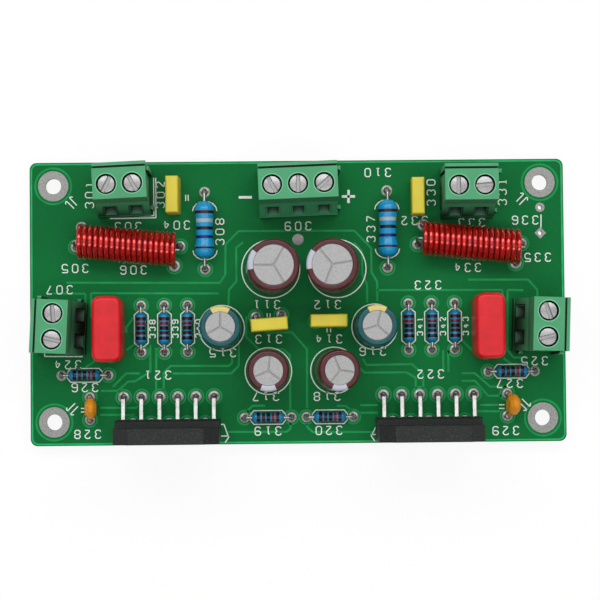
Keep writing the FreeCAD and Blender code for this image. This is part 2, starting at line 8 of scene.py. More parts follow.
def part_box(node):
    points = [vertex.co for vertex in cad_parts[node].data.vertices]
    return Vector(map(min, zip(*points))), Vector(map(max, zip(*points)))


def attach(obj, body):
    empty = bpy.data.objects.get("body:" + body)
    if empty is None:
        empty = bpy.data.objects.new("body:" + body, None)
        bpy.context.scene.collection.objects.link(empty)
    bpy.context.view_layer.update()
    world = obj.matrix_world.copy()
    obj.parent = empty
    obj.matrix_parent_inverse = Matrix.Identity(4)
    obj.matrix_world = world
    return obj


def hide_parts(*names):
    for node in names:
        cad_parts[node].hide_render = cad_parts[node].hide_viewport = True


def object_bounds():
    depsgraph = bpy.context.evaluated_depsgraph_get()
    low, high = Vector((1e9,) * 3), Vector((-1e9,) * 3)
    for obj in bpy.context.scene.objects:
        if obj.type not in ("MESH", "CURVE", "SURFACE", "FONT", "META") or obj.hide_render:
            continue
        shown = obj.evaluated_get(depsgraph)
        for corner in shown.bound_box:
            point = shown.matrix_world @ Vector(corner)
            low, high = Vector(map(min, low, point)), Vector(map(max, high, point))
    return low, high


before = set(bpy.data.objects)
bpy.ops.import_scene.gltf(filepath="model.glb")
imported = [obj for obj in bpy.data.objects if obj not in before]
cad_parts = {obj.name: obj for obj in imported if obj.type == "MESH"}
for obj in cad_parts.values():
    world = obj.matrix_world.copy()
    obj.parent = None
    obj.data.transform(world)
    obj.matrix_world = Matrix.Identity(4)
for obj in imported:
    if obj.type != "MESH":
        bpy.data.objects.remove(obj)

cad_low, cad_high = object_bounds()

# Lengths are in millimetres and become metres when a piece is finished. X runs along the board, Y
# across it and Z up, as in the frame, and the places of most pieces are read from the frame.

MM = 0.001
BOARD = "amplifier_board"
SIDES = ("left", "right")

board_end, board_side, board_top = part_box("circuit_board")[1] / MM

# Round forms
fine_segments = 64
can_segments = 72
ring_segments = 36
print_circle_segments = 40
wire_segments = 14
wire_bend_steps = 6
line_bend_steps = 4
turn_steps = 40

# Solder, pads and prints on the board
pad_thickness = 0.04
sunk = 0.01
mount_inset = 4.65
mount_hole_radius = 1.6
mount_pad_radius = 3.0
mount_gap_radius = 3.75
mount_gap_width = 0.4
gap_width = 0.42
gap_thickness = 0.02
print_width = 0.2
print_thickness = 0.03
sign_width = 0.5
rim_width = 0.3
rim_inset = 0.35

# Faces of a moulding larger than this, in square millimetres, are flat
flat_face = 5.0

# Terminals
well_radius = 1.97
# Width of the painted highlight ring round each screw well
highlight_rim_width = 0.17
# Reach of the painted shade inside the terminals' openings
painted_shade_reach = 6.0

# Eased edges
housing_bevel = 0.12
cage_bevel = 0.08
chip_bevel = 0.16
lead_bevel = 0.07
box_bevel = 0.14

# Screws
screw_radius = 1.66
screw_head_height = 1.55
screw_thread_radius = 1.28
slot_width = 0.7
slot_depth = 0.55

# Cans
sleeve_rim = 1.1
sleeve_round = 0.55
vent_width = 0.24
crimp_low = 1.7
crimp_height = 1.0
crimp_depth = 0.42


# Reading the frame


def box_mm(node):
    low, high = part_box(node)
    return low / MM, high / MM


def merged(*nodes):
    """A copy of CAD nodes' meshes in millimetres, their loose triangles joined up."""
    bm = bmesh.new()
    for node in nodes:
        bm.from_mesh(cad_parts[node].data)
    bmesh.ops.scale(bm, vec=(1 / MM,) * 3, verts=bm.verts)
    bmesh.ops.remove_doubles(bm, verts=bm.verts, dist=0.0005)
    bm.verts.index_update()
    return bm


def islands(node):
    """The connected groups of corners of a CAD node's mesh, in millimetres."""
    bm = merged(node)
    left = set(bm.verts)
    while left:
        group = set()
        front = {min(left, key=lambda v: v.index)}
        while front:
            group |= front
            front = {e.other_vert(v) for v in front for e in v.link_edges} - group
        left -= group
        yield group
    bm.free()


def middle(corners):
    """The mean place of some corners, added up in the same order on every run."""
    ordered = sorted(corners, key=lambda v: v.index)
    return sum((v.co for v in ordered), Vector()) / len(ordered)


def solids(node):
    """The lowest and highest corner of each separate solid in a node."""
    return [(Vector([min(v.co[k] for v in group) for k in range(3)]),
             Vector([max(v.co[k] for v in group) for k in range(3)])) for group in islands(node)]


def wire_paths(node):
    """The centre line of each wire in a node, walked ring by ring from its lowest end."""
    paths = []
    for group in islands(node):
        foot = min(group, key=lambda v: (round(v.co.z, 3), v.co.x))
        ring = {foot}
        grown = True
        while grown:
            near = {e.other_vert(v) for v in ring for e in v.link_edges} - ring
            grown = {v for v in near if abs(v.co.z - foot.co.z) < 0.001}
            ring |= grown
        seen = set()
        path = []
        while ring:
            path.append(middle(ring))
            seen |= ring
            ring = {e.other_vert(v) for v in ring for e in v.link_edges} - seen
        paths.append(path)
    return paths


def lead_places():
    """Where each lead goes through the board, and its radius, read from the solder under it."""
    places = []
    for group in islands("solder_joints"):
        low = min(v.co.z for v in group)
        tip = [v for v in group if v.co.z < low + 0.01]
        centre = middle(tip)
        places.append((centre.x, centre.y, max((v.co - centre).length for v in tip)))
    return places


# Building meshes


def loft(bm, rings, place, heights=None):
    """Joins rings of points into a closed form. heights say how far up its pattern each ring is."""
    uv = bm.loops.layers.uv.verify()
    count = len(rings[0])
    steps = len(rings) - 1
    heights = heights or [k / steps for k in range(steps + 1)]
    grid = [[bm.verts.new(place @ p) for p in ring] for ring in rings]

    def add(corners, values):
        face = bm.faces.new(corners)
        for loop, value in zip(face.loops, values):
            loop[uv].uv = value

    for k in range(steps):
        low, high = heights[k], heights[k + 1]
        for n in range(count):
            m = (n + 1) % count
            u0, u1 = n / count, (n + 1) / count
            add([grid[k][n], grid[k][m], grid[k + 1][m], grid[k + 1][n]],
                [(u0, low), (u1, low), (u1, high), (u0, high)])
    for end in (0, -1):
        add(grid[end], [(n / count, heights[end]) for n in range(count)])


def circle(radius, height, segments):
    turn = 2 * math.pi / segments
    return [
        Vector((radius * math.cos(k * turn), radius * math.sin(k * turn), height))
        for k in range(segments)
    ]


def rounded_rectangle(length, width, corner, height, steps=6):
    points = []
    for quarter, (sx, sy) in enumerate(((1, 1), (-1, 1), (-1, -1), (1, -1))):
        for k in range(steps + 1):
            angle = math.pi / 2 * (quarter + k / steps)
            points.append(Vector((
                sx * (length / 2 - corner) + corner * math.cos(angle),
                sy * (width / 2 - corner) + corner * math.sin(angle),
                height,
            )))
    return points


def turned(bm, outline, place=Matrix(), segments=fine_segments):
    """A form turned about the place's Z axis, through (radius, height) points."""
    low, high = outline[0][1], outline[-1][1]
    heights = [(z - low) / (high - low) for _, z in outline]
    loft(bm, [circle(r, z, segments) for r, z in outline], place, heights)


def soft_box(bm, size, corner, edge, place, steps=8):
    """A box with round corners and soft edges, standing on Z = 0."""
    length, width, height = size
    outline = [(edge - edge * math.sin(k / steps * math.pi / 2),
                edge - edge * math.cos(k / steps * math.pi / 2)) for k in range(steps + 1)]
    levels = outline + [(inset, height - z) for inset, z in reversed(outline)]
    rings = [rounded_rectangle(length - 2 * inset, width - 2 * inset, max(corner - inset, 0.05), z)
             for inset, z in levels]
    loft(bm, rings, place, [z / height for _, z in levels])


def plate_ring(bm, x, y, inner, outer, low, high, segments=fine_segments):
    """A flat ring with a square section."""
    section = [(inner, low), (outer, low), (outer, high), (inner, high)]
    rings = [circle(r, z, segments) for r, z in section]
    grid = [[bm.verts.new(p + Vector((x, y, 0))) for p in ring] for ring in rings]
    for k in range(4):
        for n in range(segments):
            m = (n + 1) % segments
            j = (k + 1) % 4
            bm.faces.new([grid[k][n], grid[k][m], grid[j][m], grid[j][n]])


def lying(x, y, z, turn):
    """A place whose Z axis lies flat, pointing along the heading in degrees."""
    return (Matrix.Translation((x, y, z))
            @ Matrix.Rotation(math.radians(turn), 4, "Z")
            @ Matrix.Rotation(math.pi / 2, 4, "Y"))


def join_flats(bm):
    """Joins the triangles of flat faces."""
    bmesh.ops.dissolve_limit(bm, angle_limit=math.radians(2), verts=bm.verts, edges=bm.edges)


def finish_piece(name, bm, material, slot, body=BOARD, stands_for=(), sharp=38, flat_above=None):
    """Turns a mesh in millimetres into a piece that rides on its body.

    Faces larger than flat_above, in square millimetres, are shaded flat."""
    bmesh.ops.remove_doubles(bm, verts=bm.verts, dist=0.0002)
    bmesh.ops.recalc_face_normals(bm, faces=bm.faces)
    bmesh.ops.scale(bm, vec=(MM,) * 3, verts=bm.verts)
    mesh = bpy.data.meshes.new(name)
    bm.to_mesh(mesh)
    bm.free()
    mesh.materials.append(material)
    mesh.shade_smooth()
    mesh.set_sharp_from_angle(angle=math.radians(sharp))
    for face in mesh.polygons:
        if flat_above and face.area > flat_above * MM * MM:
            face.use_smooth = False
    piece = bpy.data.objects.new(name, mesh)
    bpy.context.scene.collection.objects.link(piece)
    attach(piece, body)
    if stands_for:
        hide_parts(*stands_for)
    return piece


# Nodes


def add_node(tree, kind, by_place=(), **values):
    """Adds a node and gives its outputs.

    Lower-case names are its settings, and the others its inputs, fixed or linked."""
    node = tree.nodes.new(kind)
    inputs = list(by_place)
    for name, value in values.items():
        if name.islower():
            setattr(node, name, value)
        else:
            inputs.append((name.replace("_", " "), value))
    for place, value in inputs:
        if isinstance(value, bpy.types.NodeSocket):
            tree.links.new(value, node.inputs[place])
        else:
            node.inputs[place].default_value = value
    return node.outputs


# Geometry Nodes: what repeats or follows a path

SOCKETS = {float: "NodeSocketFloat", int: "NodeSocketInt", type(None): "NodeSocketObject"}


def new_tree(name, **sizes):
    """An empty tree that takes a geometry, a material and one named value for each size."""
    tree = bpy.data.node_groups.new(name, "GeometryNodeTree")
    face = tree.interface
    face.new_socket("Geometry", in_out="INPUT", socket_type="NodeSocketGeometry")
    face.new_socket("Geometry", in_out="OUTPUT", socket_type="NodeSocketGeometry")
    for label, value in sizes.items():
        socket = face.new_socket(label, in_out="INPUT", socket_type=SOCKETS[type(value)])
        if value is not None:
            socket.default_value = value
    face.new_socket("Material", in_out="INPUT", socket_type="NodeSocketMaterial")
    return tree, tree.nodes.new("NodeGroupInput").outputs


def finish_tree(tree, given, shape):
    """Ends a tree in Realize Instances and Set Material."""
    real = add_node(tree, "GeometryNodeRealizeInstances", Geometry=shape)
    paint = add_node(tree, "GeometryNodeSetMaterial", Geometry=real["Geometry"],
                     Material=given["Material"])
    add_node(tree, "NodeGroupOutput", Geometry=paint["Geometry"])
    return tree


def finish_sweep(tree, given, path, section):
    """Runs a section along a path, with its ends closed, and ends the tree."""
    sweep = add_node(tree, "GeometryNodeCurveToMesh", Curve=path, Profile_Curve=section,
                     Fill_Caps=True)
    return finish_tree(tree, given, sweep["Mesh"])


def bent_path(tree, given, count):
    """The given edges as curves, with their corners bent to a radius."""
    curve = add_node(tree, "GeometryNodeMeshToCurve", Mesh=given["Geometry"])
    bend = add_node(tree, "GeometryNodeFilletCurve", mode="POLY", Curve=curve["Curve"],
                    Radius=given["Bend"], Count=count, Limit_Radius=True)
    return bend["Curve"]


def round_section(tree, given, radius):
    section = add_node(tree, "GeometryNodeCurvePrimitiveCircle", Resolution=given["Segments"],
                       Radius=given[radius])
    return section["Curve"]


def wire_tree():
    """A round wire along each path."""
    tree, given = new_tree("Wire along a path", Radius=0.3, Bend=0.6, Segments=wire_segments)
    return finish_sweep(tree, given, bent_path(tree, given, wire_bend_steps),
                        round_section(tree, given, "Radius"))


def line_tree():
    """A flat printed line along each path, with its corners eased."""
    tree, given = new_tree("Flat line along a path", Width=0.3, Thickness=0.03, Bend=0.3)
    upright = add_node(tree, "GeometryNodeSetCurveNormal", mode="Z_UP",
                       Curve=bent_path(tree, given, line_bend_steps))
    section = add_node(tree, "GeometryNodeCurvePrimitiveQuadrilateral", Width=given["Width"],
                       Height=given["Thickness"])
    return finish_sweep(tree, given, upright["Curve"], section["Curve"])


def winding_tree():
    """A close-wound coil that rises from the origin about the Z axis."""
    tree, given = new_tree(
        "Winding", Turns=17.5, Length=19.0, Radius=2.8, Wire=0.5, Segments=wire_segments)
    spiral = add_node(
        tree, "GeometryNodeCurveSpiral", Resolution=turn_steps, Rotations=given["Turns"],
        Start_Radius=given["Radius"], End_Radius=given["Radius"], Height=given["Length"])
    return finish_sweep(tree, given, spiral["Curve"], round_section(tree, given, "Wire"))


def scatter_tree():
    """One shape at every point, each a little larger or smaller and turned at random."""
    tree, given = new_tree("Shape at each point", Shape=None, Spread=0.1, Seed=7)
    shape = add_node(tree, "GeometryNodeObjectInfo", Object=given["Shape"])
    points = add_node(tree, "GeometryNodeMeshToPoints", Mesh=given["Geometry"])
    size = add_node(tree, "GeometryNodeInputNamedAttribute", data_type="FLOAT", Name="size")
    smallest = add_node(tree, "ShaderNodeMath", [(0, 1.0), (1, given["Spread"])],
                        operation="SUBTRACT")
    vary = add_node(tree, "FunctionNodeRandomValue", [(2, smallest[0]), (3, 1.0)],
                    data_type="FLOAT", Seed=given["Seed"])
    scale = add_node(tree, "ShaderNodeMath", [(0, size["Attribute"]), (1, vary[1])],
                     operation="MULTIPLY")
    turn = add_node(tree, "FunctionNodeRandomValue", [(3, 2 * math.pi)], data_type="FLOAT",
                    Seed=given["Seed"])
    spin = add_node(tree, "ShaderNodeCombineXYZ", Z=turn[1])
    place = add_node(tree, "GeometryNodeInstanceOnPoints", Points=points["Points"],
                     Instance=shape["Geometry"], Rotation=spin["Vector"], Scale=scale[0])
    return finish_tree(tree, given, place["Instances"])


def held(mesh):
    """A helper object that holds a mesh while modifiers work on it."""
    holder = bpy.data.objects.new("holder", mesh)
    bpy.context.scene.collection.objects.link(holder)
    return holder


def taken(holder):
    """The helper's mesh with its modifiers applied. The helper goes."""
    graph = bpy.context.evaluated_depsgraph_get()
    result = bpy.data.meshes.new_from_object(holder.evaluated_get(graph))
    holder.modifiers.clear()
    bpy.data.objects.remove(holder)
    return result


def run_tree(tree, source, **values):
    """Runs a tree on a mesh and returns the result as a new mesh."""
    holder = held(source)
    modifier = holder.modifiers.new("tree", "NODES")
    modifier.node_group = tree
    for item in tree.interface.items_tree:
        if item.in_out == "INPUT" and item.name in values:
            modifier[item.identifier] = values[item.name]
    return taken(holder)


WIRE = wire_tree()
LINE = line_tree()
WINDING = winding_tree()
SCATTER = scatter_tree()


def path_mesh(paths, closed=False):
    mesh = bpy.data.meshes.new("paths")
    points, edges = [], []
    for path in paths:
        first = len(points)
        points += [Vector(p) for p in path]
        edges += [(first + k, first + k + 1) for k in range(len(path) - 1)]
        if closed:
            edges.append((len(points) - 1, first))
    mesh.from_pydata(points, edges, [])
    return mesh


def swept(tree, paths, closed=False, **values):
    """Runs a path tree and returns its mesh for a piece."""
    bm = bmesh.new()
    bm.from_mesh(run_tree(tree, path_mesh(paths, closed), **values))
    return bm


def scattered(shape, points, sizes, material, spread):
    """Sets a shape, built round the origin, at each point."""
    pattern = bpy.data.objects.new("pattern", bpy.data.meshes.new("pattern"))
    shape.to_mesh(pattern.data)
    shape.free()
    source = path_mesh([[p] for p in points])
    layer = source.attributes.new("size", "FLOAT", "POINT")
    for value, size in zip(layer.data, sizes):
        value.value = size
    bm = bmesh.new()
    bm.from_mesh(run_tree(SCATTER, source, Shape=pattern, Spread=spread, Material=material))
    bpy.data.objects.remove(pattern)
    return bm


# Materials


def rgb(red, green, blue):
    """A colour as it looks on screen, 0 to 255, as the shader wants it."""
    channels = [c / 255 for c in (red, green, blue)]
    return [c / 12.92 if c < 0.04045 else ((c + 0.055) / 1.055) ** 2.4 for c in channels] + [1.0]


def shade(colour, factor):
    return [min(1.0, c * factor) for c in colour[:3]] + [1.0]


class Finish:
    """A procedural material: a base shader, with its patterns added one by one."""

    def __init__(self, name, roughness, metallic=0.0, coat=0.0, coat_roughness=0.05, gloss=0.4):
        self.material = bpy.data.materials.new(name)
        self.material.use_nodes = True
        self.tree = self.material.node_tree
        self.shader = self.tree.nodes["Principled BSDF"].inputs
        self.shader["Roughness"].default_value = roughness
        self.shader["Metallic"].default_value = metallic
        self.shader["Specular IOR Level"].default_value = gloss
        self.shader["Coat Weight"].default_value = coat
        self.shader["Coat Roughness"].default_value = coat_roughness
        self.place = self.tree.nodes.new("ShaderNodeTexCoord").outputs

    def add(self, kind, by_place=(), **values):
        return add_node(self.tree, kind, by_place, **values)

    def noise(self, per_mm, detail=3.0, stretch=(1, 1, 1)):
        """Noise with that many features to the millimetre, in object space."""
        scaled = self.add("ShaderNodeMapping", Vector=self.place["Object"],
                          Scale=[per_mm / MM * s for s in stretch])
        return self.add("ShaderNodeTexNoise", Vector=scaled["Vector"], Scale=1.0,
                        Detail=detail)["Fac"]

    def ramp(self, source, stops, constant=False):
        """Maps a value onto colours. stops are (position, colour)."""
        ramp = self.tree.nodes.new("ShaderNodeValToRGB")
        self.tree.links.new(source, ramp.inputs["Fac"])
        ramp.color_ramp.interpolation = "CONSTANT" if constant else "LINEAR"
        elements = ramp.color_ramp.elements
        for position, colour in stops[1:-1]:
            elements.new(position).color = colour
        elements[0].position, elements[0].color = stops[0]
        elements[-1].position, elements[-1].color = stops[-1]
        return ramp.outputs["Color"]

    def tones(self, source, colour, darker, lighter):
        """The colour, made darker where the source is low and lighter where it is high."""
        return self.ramp(source, [(0.3, shade(colour, darker)), (0.7, shade(colour, lighter))])

    def mix(self, amount, first, second, blend="MIX"):
        return self.add("ShaderNodeMix", [(0, amount), (6, first), (7, second)], data_type="RGBA",
                        blend_type=blend)[2]

    def math(self, operation, first, second=0.0):
        return self.add("ShaderNodeMath", [(0, first), (1, second)], operation=operation)[0]

    def split(self, source, axis):
        return self.add("ShaderNodeSeparateXYZ", Vector=source)[axis]

    def colour(self, source):
        self.tree.links.new(source, self.shader["Base Color"])

    def mottled(self, colour, spread, per_mm, detail=3.0):
        """The colour, varied a little lighter and darker."""
        noise = self.noise(per_mm, detail)
        self.colour(self.tones(noise, colour, 1 - spread, 1 + spread))
        return noise

    def rough(self, source, low, high):
        level = self.add("ShaderNodeMapRange", Value=source, To_Min=low, To_Max=high)
        self.tree.links.new(level["Result"], self.shader["Roughness"])

    def bump(self, source, depth_mm, strength=0.5):
        bump = self.add("ShaderNodeBump", Height=source, Distance=depth_mm * MM, Strength=strength)
        self.tree.links.new(bump["Normal"], self.shader["Normal"])


def solder_mask():
    """Green lacquer on the faces of the board, and pale glass fibre on its cut edges."""
    made = Finish("solder mask green", 0.42, gloss=0.07)
    green = rgb(4, 101, 48)
    cloud = made.tones(made.noise(0.05), green, 0.85, 1.18)
    weave = made.ramp(made.noise(2.2), [(0.35, shade(green, 0.93)), (0.65, shade(green, 1.07))])
    lacquer = made.mix(0.5, cloud, weave)
    fibre = made.ramp(made.noise(1.5, stretch=(1, 1, 6)), [
        (0.3, rgb(120, 140, 84)), (0.7, rgb(158, 170, 112))])
    upright = made.math("ABSOLUTE", made.split(made.place["Normal"], "Z"))
    made.colour(made.mix(made.math("GREATER_THAN", upright, 0.5), fibre, lacquer))
    made.bump(made.noise(1.2), 0.01, 0.25)
    return made.material


def bare_mask(name, colour):
    made = Finish(name, 0.42, gloss=0.12)
    made.mottled(colour, 0.14, 0.4)
    return made.material


def printed_white():
    made = Finish("white print", 0.6)
    made.bump(made.mottled(rgb(226, 230, 226), 0.06, 3.0), 0.01, 0.3)
    return made.material


def tinned(name, tone, per_mm, roughness, depth):
    made = Finish(name, roughness, metallic=1.0)
    noise = made.mottled(rgb(tone, tone, tone - 2), 0.28, per_mm, 5.0)
    made.rough(noise, roughness - 0.1, roughness + 0.2)
    made.bump(noise, depth)
    return made.material


def moulded(name, colour):
    made = Finish(name, 0.4)
    made.mottled(colour, 0.06, 0.25)
    made.bump(made.noise(6.0), 0.01, 0.35)
    return made.material


def moulded_with_painted_shade(name, colour, painted_shade_colour):
    """Moulded plastic with painted shade: its colour turns dark inside its openings, wherever ambient
    occlusion finds a recess.
    """
    made = Finish(name, 0.45, gloss=0.3)
    plain = made.tones(made.noise(0.3), colour, 0.93, 1.07)
    # Painted shade: in recesses the colour falls to the dark tone.
    shade_occlusion = made.add("ShaderNodeAmbientOcclusion", samples=8, Distance=painted_shade_reach * MM)
    unshaded_share = made.ramp(shade_occlusion["AO"], [(0.3, (0, 0, 0, 1)), (0.8, (1, 1, 1, 1))])
    made.colour(made.mix(unshaded_share, painted_shade_colour, plain))
    made.bump(made.noise(6.0), 0.01, 0.35)
    return made.material


def chip_moulding():
    made = Finish("dark chip moulding", 0.55, gloss=0.25)
    speckle = made.noise(4.0, 6.0)
    made.colour(made.ramp(speckle, [
        (0.3, rgb(22, 24, 24)), (0.6, rgb(36, 39, 38)), (0.75, rgb(76, 80, 76))]))
    made.rough(speckle, 0.45, 0.7)
    made.bump(speckle, 0.04, 0.6)
    return made.material


def enamel():
    made = Finish("red wire enamel", 0.2, metallic=0.6, coat=1.0)
    noise = made.mottled(rgb(190, 18, 10), 0.25, 0.8)
    made.bump(noise, 0.03, 0.2)
    return made.material


def banded(name, base, bands, width):
    """Lacquer with colour bands round it.

    bands are (place, colour, times the width). Places and width are shares of the body's length."""
    made = Finish(name, 0.27, coat=0.18, gloss=0.25)
    stops = [(0.0, base)]
    for middle_at, colour, share in bands:
        stops.append((middle_at - width * share / 2, colour))
        stops.append((middle_at + width * share / 2, base))
    along = made.split(made.place["UV"], "Y")
    paint = made.ramp(along, stops, constant=True)
    made.colour(made.mix(0.25, paint, made.ramp(
        made.noise(1.2), [(0.3, rgb(150, 150, 150)), (0.7, rgb(255, 255, 255))]), "MULTIPLY"))
    made.bump(made.noise(0.9), 0.04, 0.3)
    return made.material


dash_gap_share = 0.62
dash_half_share = 0.13


def sleeve(name, base, stripe, mark, stripe_at, marks, stripe_width=0.13):
    """Shrink sleeve with a pale stripe down one side and dashes on it.

    stripe_at and stripe_width are shares of a turn."""
    made = Finish(name, 0.3, coat=0.2, coat_roughness=0.12, gloss=0.25)
    around = made.split(made.place["UV"], "X")
    height = made.split(made.place["UV"], "Y")
    shifted = made.math("FRACT", made.math("ADD", around, 1.5 - stripe_at))
    distance = made.math("ABSOLUTE", made.math("SUBTRACT", shifted, 0.5))
    on_stripe = made.math("LESS_THAN", distance, stripe_width / 2)
    cell = made.math("FRACT", made.math("MULTIPLY", height, marks))
    dash = made.math("MULTIPLY", made.math("GREATER_THAN", cell, dash_gap_share),
                     made.math("LESS_THAN", distance, stripe_width * dash_half_share))
    colour = made.mix(on_stripe, made.tones(made.noise(0.4), base, 0.85, 1.2), stripe)
    made.colour(made.mix(dash, colour, mark))
    made.bump(made.noise(1.0), 0.02, 0.2)
    return made.material


def dipped(name, colour, roughness):
    made = Finish(name, roughness, coat=0.12, coat_roughness=0.15, gloss=0.25)
    made.mottled(colour, 0.1, 0.5)
    made.bump(made.noise(0.8, 2.0), 0.08, 0.4)
    return made.material


def brushed(name, tone, stretch, roughness=0.35):
    made = Finish(name, roughness, metallic=1.0)
    noise = made.noise(3.0, 4.0, stretch)
    made.colour(made.ramp(noise, [
        (0.25, rgb(tone - 14, tone - 14, tone - 12)), (0.75, rgb(tone + 10, tone + 10, tone + 8))]))
    made.rough(noise, roughness - 0.08, roughness + 0.12)
    made.bump(noise, 0.02, 0.4)
    return made.material


mask = solder_mask()
bare = bare_mask("solder mask over bare laminate", rgb(16, 138, 70))
rim_mask = bare_mask("solder mask along the edge", rgb(34, 166, 96))
white_print = printed_white()
solder = tinned("soldered joint", tone=158, per_mm=1.6, roughness=0.34, depth=0.12)
pad_metal = tinned("tinned pad", tone=136, per_mm=3.0, roughness=0.48, depth=0.03)
lead_metal = tinned("tinned lead", tone=172, per_mm=1.2, roughness=0.36, depth=0.03)
# The terminal green turns near black inside its openings: painted shade.
terminal_plastic = moulded_with_painted_shade("terminal green", rgb(68, 150, 103), rgb(3, 12, 8))
# A lighter copy of the terminal green, for the painted highlight round the screw wells.
terminal_highlight_green = moulded("terminal green painted highlight", rgb(108, 184, 142))
screw_steel = brushed("screw steel", tone=148, stretch=(0.4, 4.0, 1.0))
cage_steel = tinned("cage steel", tone=150, per_mm=1.0, roughness=0.4, depth=0.02)
contact_metal = tinned("contact metal", tone=170, per_mm=1.0, roughness=0.35, depth=0.02)
chip_plastic = chip_moulding()
wire_enamel = enamel()
can_metal = brushed("can aluminium", tone=152, stretch=(1.0, 1.0, 1.0), roughness=0.45)
sleeve_brown = rgb(74, 24, 30)
stripe_grey = rgb(178, 180, 192)
stripe_mark = rgb(60, 40, 60)
brown_sleeve = sleeve("brown sleeve", sleeve_brown, stripe_grey, stripe_mark, stripe_at=0.465,
                      marks=9)
brown_sleeve_low = sleeve("brown sleeve, stripe to the front", sleeve_brown, stripe_grey, stripe_mark,
                          stripe_at=0.75, marks=7)
teal_sleeve = sleeve("teal sleeve", rgb(4, 76, 80), rgb(206, 190, 112), rgb(30, 60, 60),
                     stripe_at=0.25, marks=6, stripe_width=0.16)
red_epoxy = dipped("red dipped epoxy", rgb(204, 22, 32), roughness=0.34)
yellow_plastic = moulded("yellow box", rgb(204, 188, 50))
amber_epoxy = dipped("amber dipped coating", rgb(206, 132, 26), roughness=0.3)

resistor_blue = rgb(20, 142, 194)
small_blue = rgb(16, 122, 172)
dark_brown = rgb(52, 22, 22)
black = rgb(18, 20, 26)
dark_red = rgb(112, 26, 34)
large_lacquer = banded("large resistor lacquer", resistor_blue, [
    (0.18, dark_brown, 0.7), (0.37, rgb(24, 30, 104), 1.1), (0.52, black, 1.2),
    (0.655, rgb(160, 172, 176), 1.3), (0.8, dark_brown, 1.1)], width=0.05)
small_lacquer = banded("small resistor lacquer", small_blue, [
    (0.2, black, 1.1), (0.36, dark_brown, 1.0), (0.51, black, 1.1), (0.655, dark_red, 0.9),
    (0.8, dark_brown, 1.0)], width=0.105)


# The board


def laid_lines(name, paths, finish, width, bend, thickness=print_thickness,
               height=print_thickness / 2, closed=False):
    """Flat lines on the top of the board, as one piece."""
    laid = [[(x, y, board_top + height) for x, y in path] for path in paths]
    bm = swept(LINE, laid, closed, Width=width, Thickness=thickness, Bend=bend, Material=finish)
    finish_piece(name, bm, finish, "board_laminate")


def board_rim():
    """The band along the board's edge where the copper stops."""
    half_length = board_end - rim_inset
    half_width = board_side - rim_inset
    outline = [(half_length, half_width), (-half_length, half_width),
               (-half_length, -half_width), (half_length, -half_width)]
    laid_lines("board_rim", [outline], rim_mask, rim_width, bend=1.2, thickness=2 * gap_thickness,
               height=0.0, closed=True)


# The gaps between the copper areas, as they show through the lacquer
LEFT_GAPS = [
    [(-48.3, 2.1), (-41.9, 2.0), (-41.9, -2.8)],
    [(-45.7, 4.2), (-15.4, 3.9), (-14.3, 5.5), (-14.2, 11.5), (-11.6, 14.1), (11.3, 14.0),
     (14.6, 10.5), (14.6, 5.8), (15.7, 3.8), (15.7, 0.0)],
    [(-40.8, -2.8), (-40.8, 2.1), (-15.6, 1.8)],
    [(-10.7, 11.9), (-12.1, 10.8), (-12.1, 4.2), (-13.6, 2.5), (-13.8, -3.0)],
    [(-13.0, -8.4), (-13.1, -12.0), (-13.8, -12.5), (-25.2, -12.4), (-26.6, -13.7), (-26.6, -17.2)],
    [(-11.7, -7.4), (-11.8, -12.5), (-13.3, -14.0), (-24.8, -13.9)],
    [(-29.2, -8.2), (-29.2, -13.5), (-32.3, -15.4), (-33.6, -15.4), (-35.6, -17.2), (-38.9, -17.2)],
    [(-28.0, -8.8), (-28.1, -17.0)],
    [(-36.6, -16.4), (-34.0, -13.8), (-31.3, -13.8)],
    [(-39.2, -20.5), (-32.0, -20.6), (-31.3, -19.8)],
    [(-39.2, -21.9), (-32.4, -22.0)],
    [(-41.9, -12.5), (-39.9, -11.1)],
    [(-33.9, -9.2), (-32.2, -8.0)],
    [(-33.9, -5.8), (-33.9, -4.7), (-32.2, -2.5)],
]
MIDDLE_GAPS = [
    [(-10.2, -2.8), (-10.3, -6.8), (-7.8, -9.3), (-3.0, -9.3), (-1.7, -10.5), (-1.7, -21.3)],
    [(-6.6, -6.0), (-1.2, -6.0), (1.7, -9.4), (1.6, -20.9)],
    [(-1.7, -23.9), (-1.7, -25.0), (-2.5, -25.6), (-14.4, -25.5)],
    [(1.6, -24.1), (1.6, -24.7), (2.7, -25.7), (14.6, -25.8)],
    [(-10.1, -22.2), (-10.0, -21.2), (-9.1, -20.4), (-6.7, -20.4)],
    [(7.5, -20.6), (9.2, -20.6), (10.2, -21.4)],
    [(12.1, -20.5), (15.6, -20.5)],
    [(12.0, -22.0), (15.6, -22.0)],
]
RIGHT_GAPS = [
    [(11.2, 11.7), (12.8, 9.9), (12.8, 5.3), (13.7, 3.3), (13.7, -0.3)],
    [(12.7, -11.3), (13.4, -12.6), (22.4, -12.5), (24.6, -14.5), (24.6, -17.2)],
    [(12.2, -13.2), (13.0, -14.1), (21.3, -14.1), (23.1, -15.2), (23.1, -17.2)],
    [(15.7, 2.2), (40.5, 2.0), (40.5, 0.4)],
    [(33.7, 4.1), (45.6, 4.0), (47.4, 2.0), (47.4, 0.7)],
    [(32.2, -14.4), (34.8, -14.4), (37.8, -17.1), (41.1, -17.1)],
    [(32.2, -15.9), (34.8, -15.9), (37.4, -18.9), (41.1, -18.9)],
    [(35.7, -20.7), (39.3, -20.7)],
    [(35.1, -21.9), (39.7, -22.0)],
    [(28.6, -9.8), (28.6, -14.1)],
    [(29.6, -9.8), (29.6, -14.1)],
    [(32.3, -7.8), (34.6, -10.2)],
    [(44.6, 1.9), (41.5, 2.0), (41.3, -9.9), (42.5, -11.4), (45.1, -11.4)],
    [(40.5, -11.5), (42.1, -12.7), (44.4, -12.7)],
]


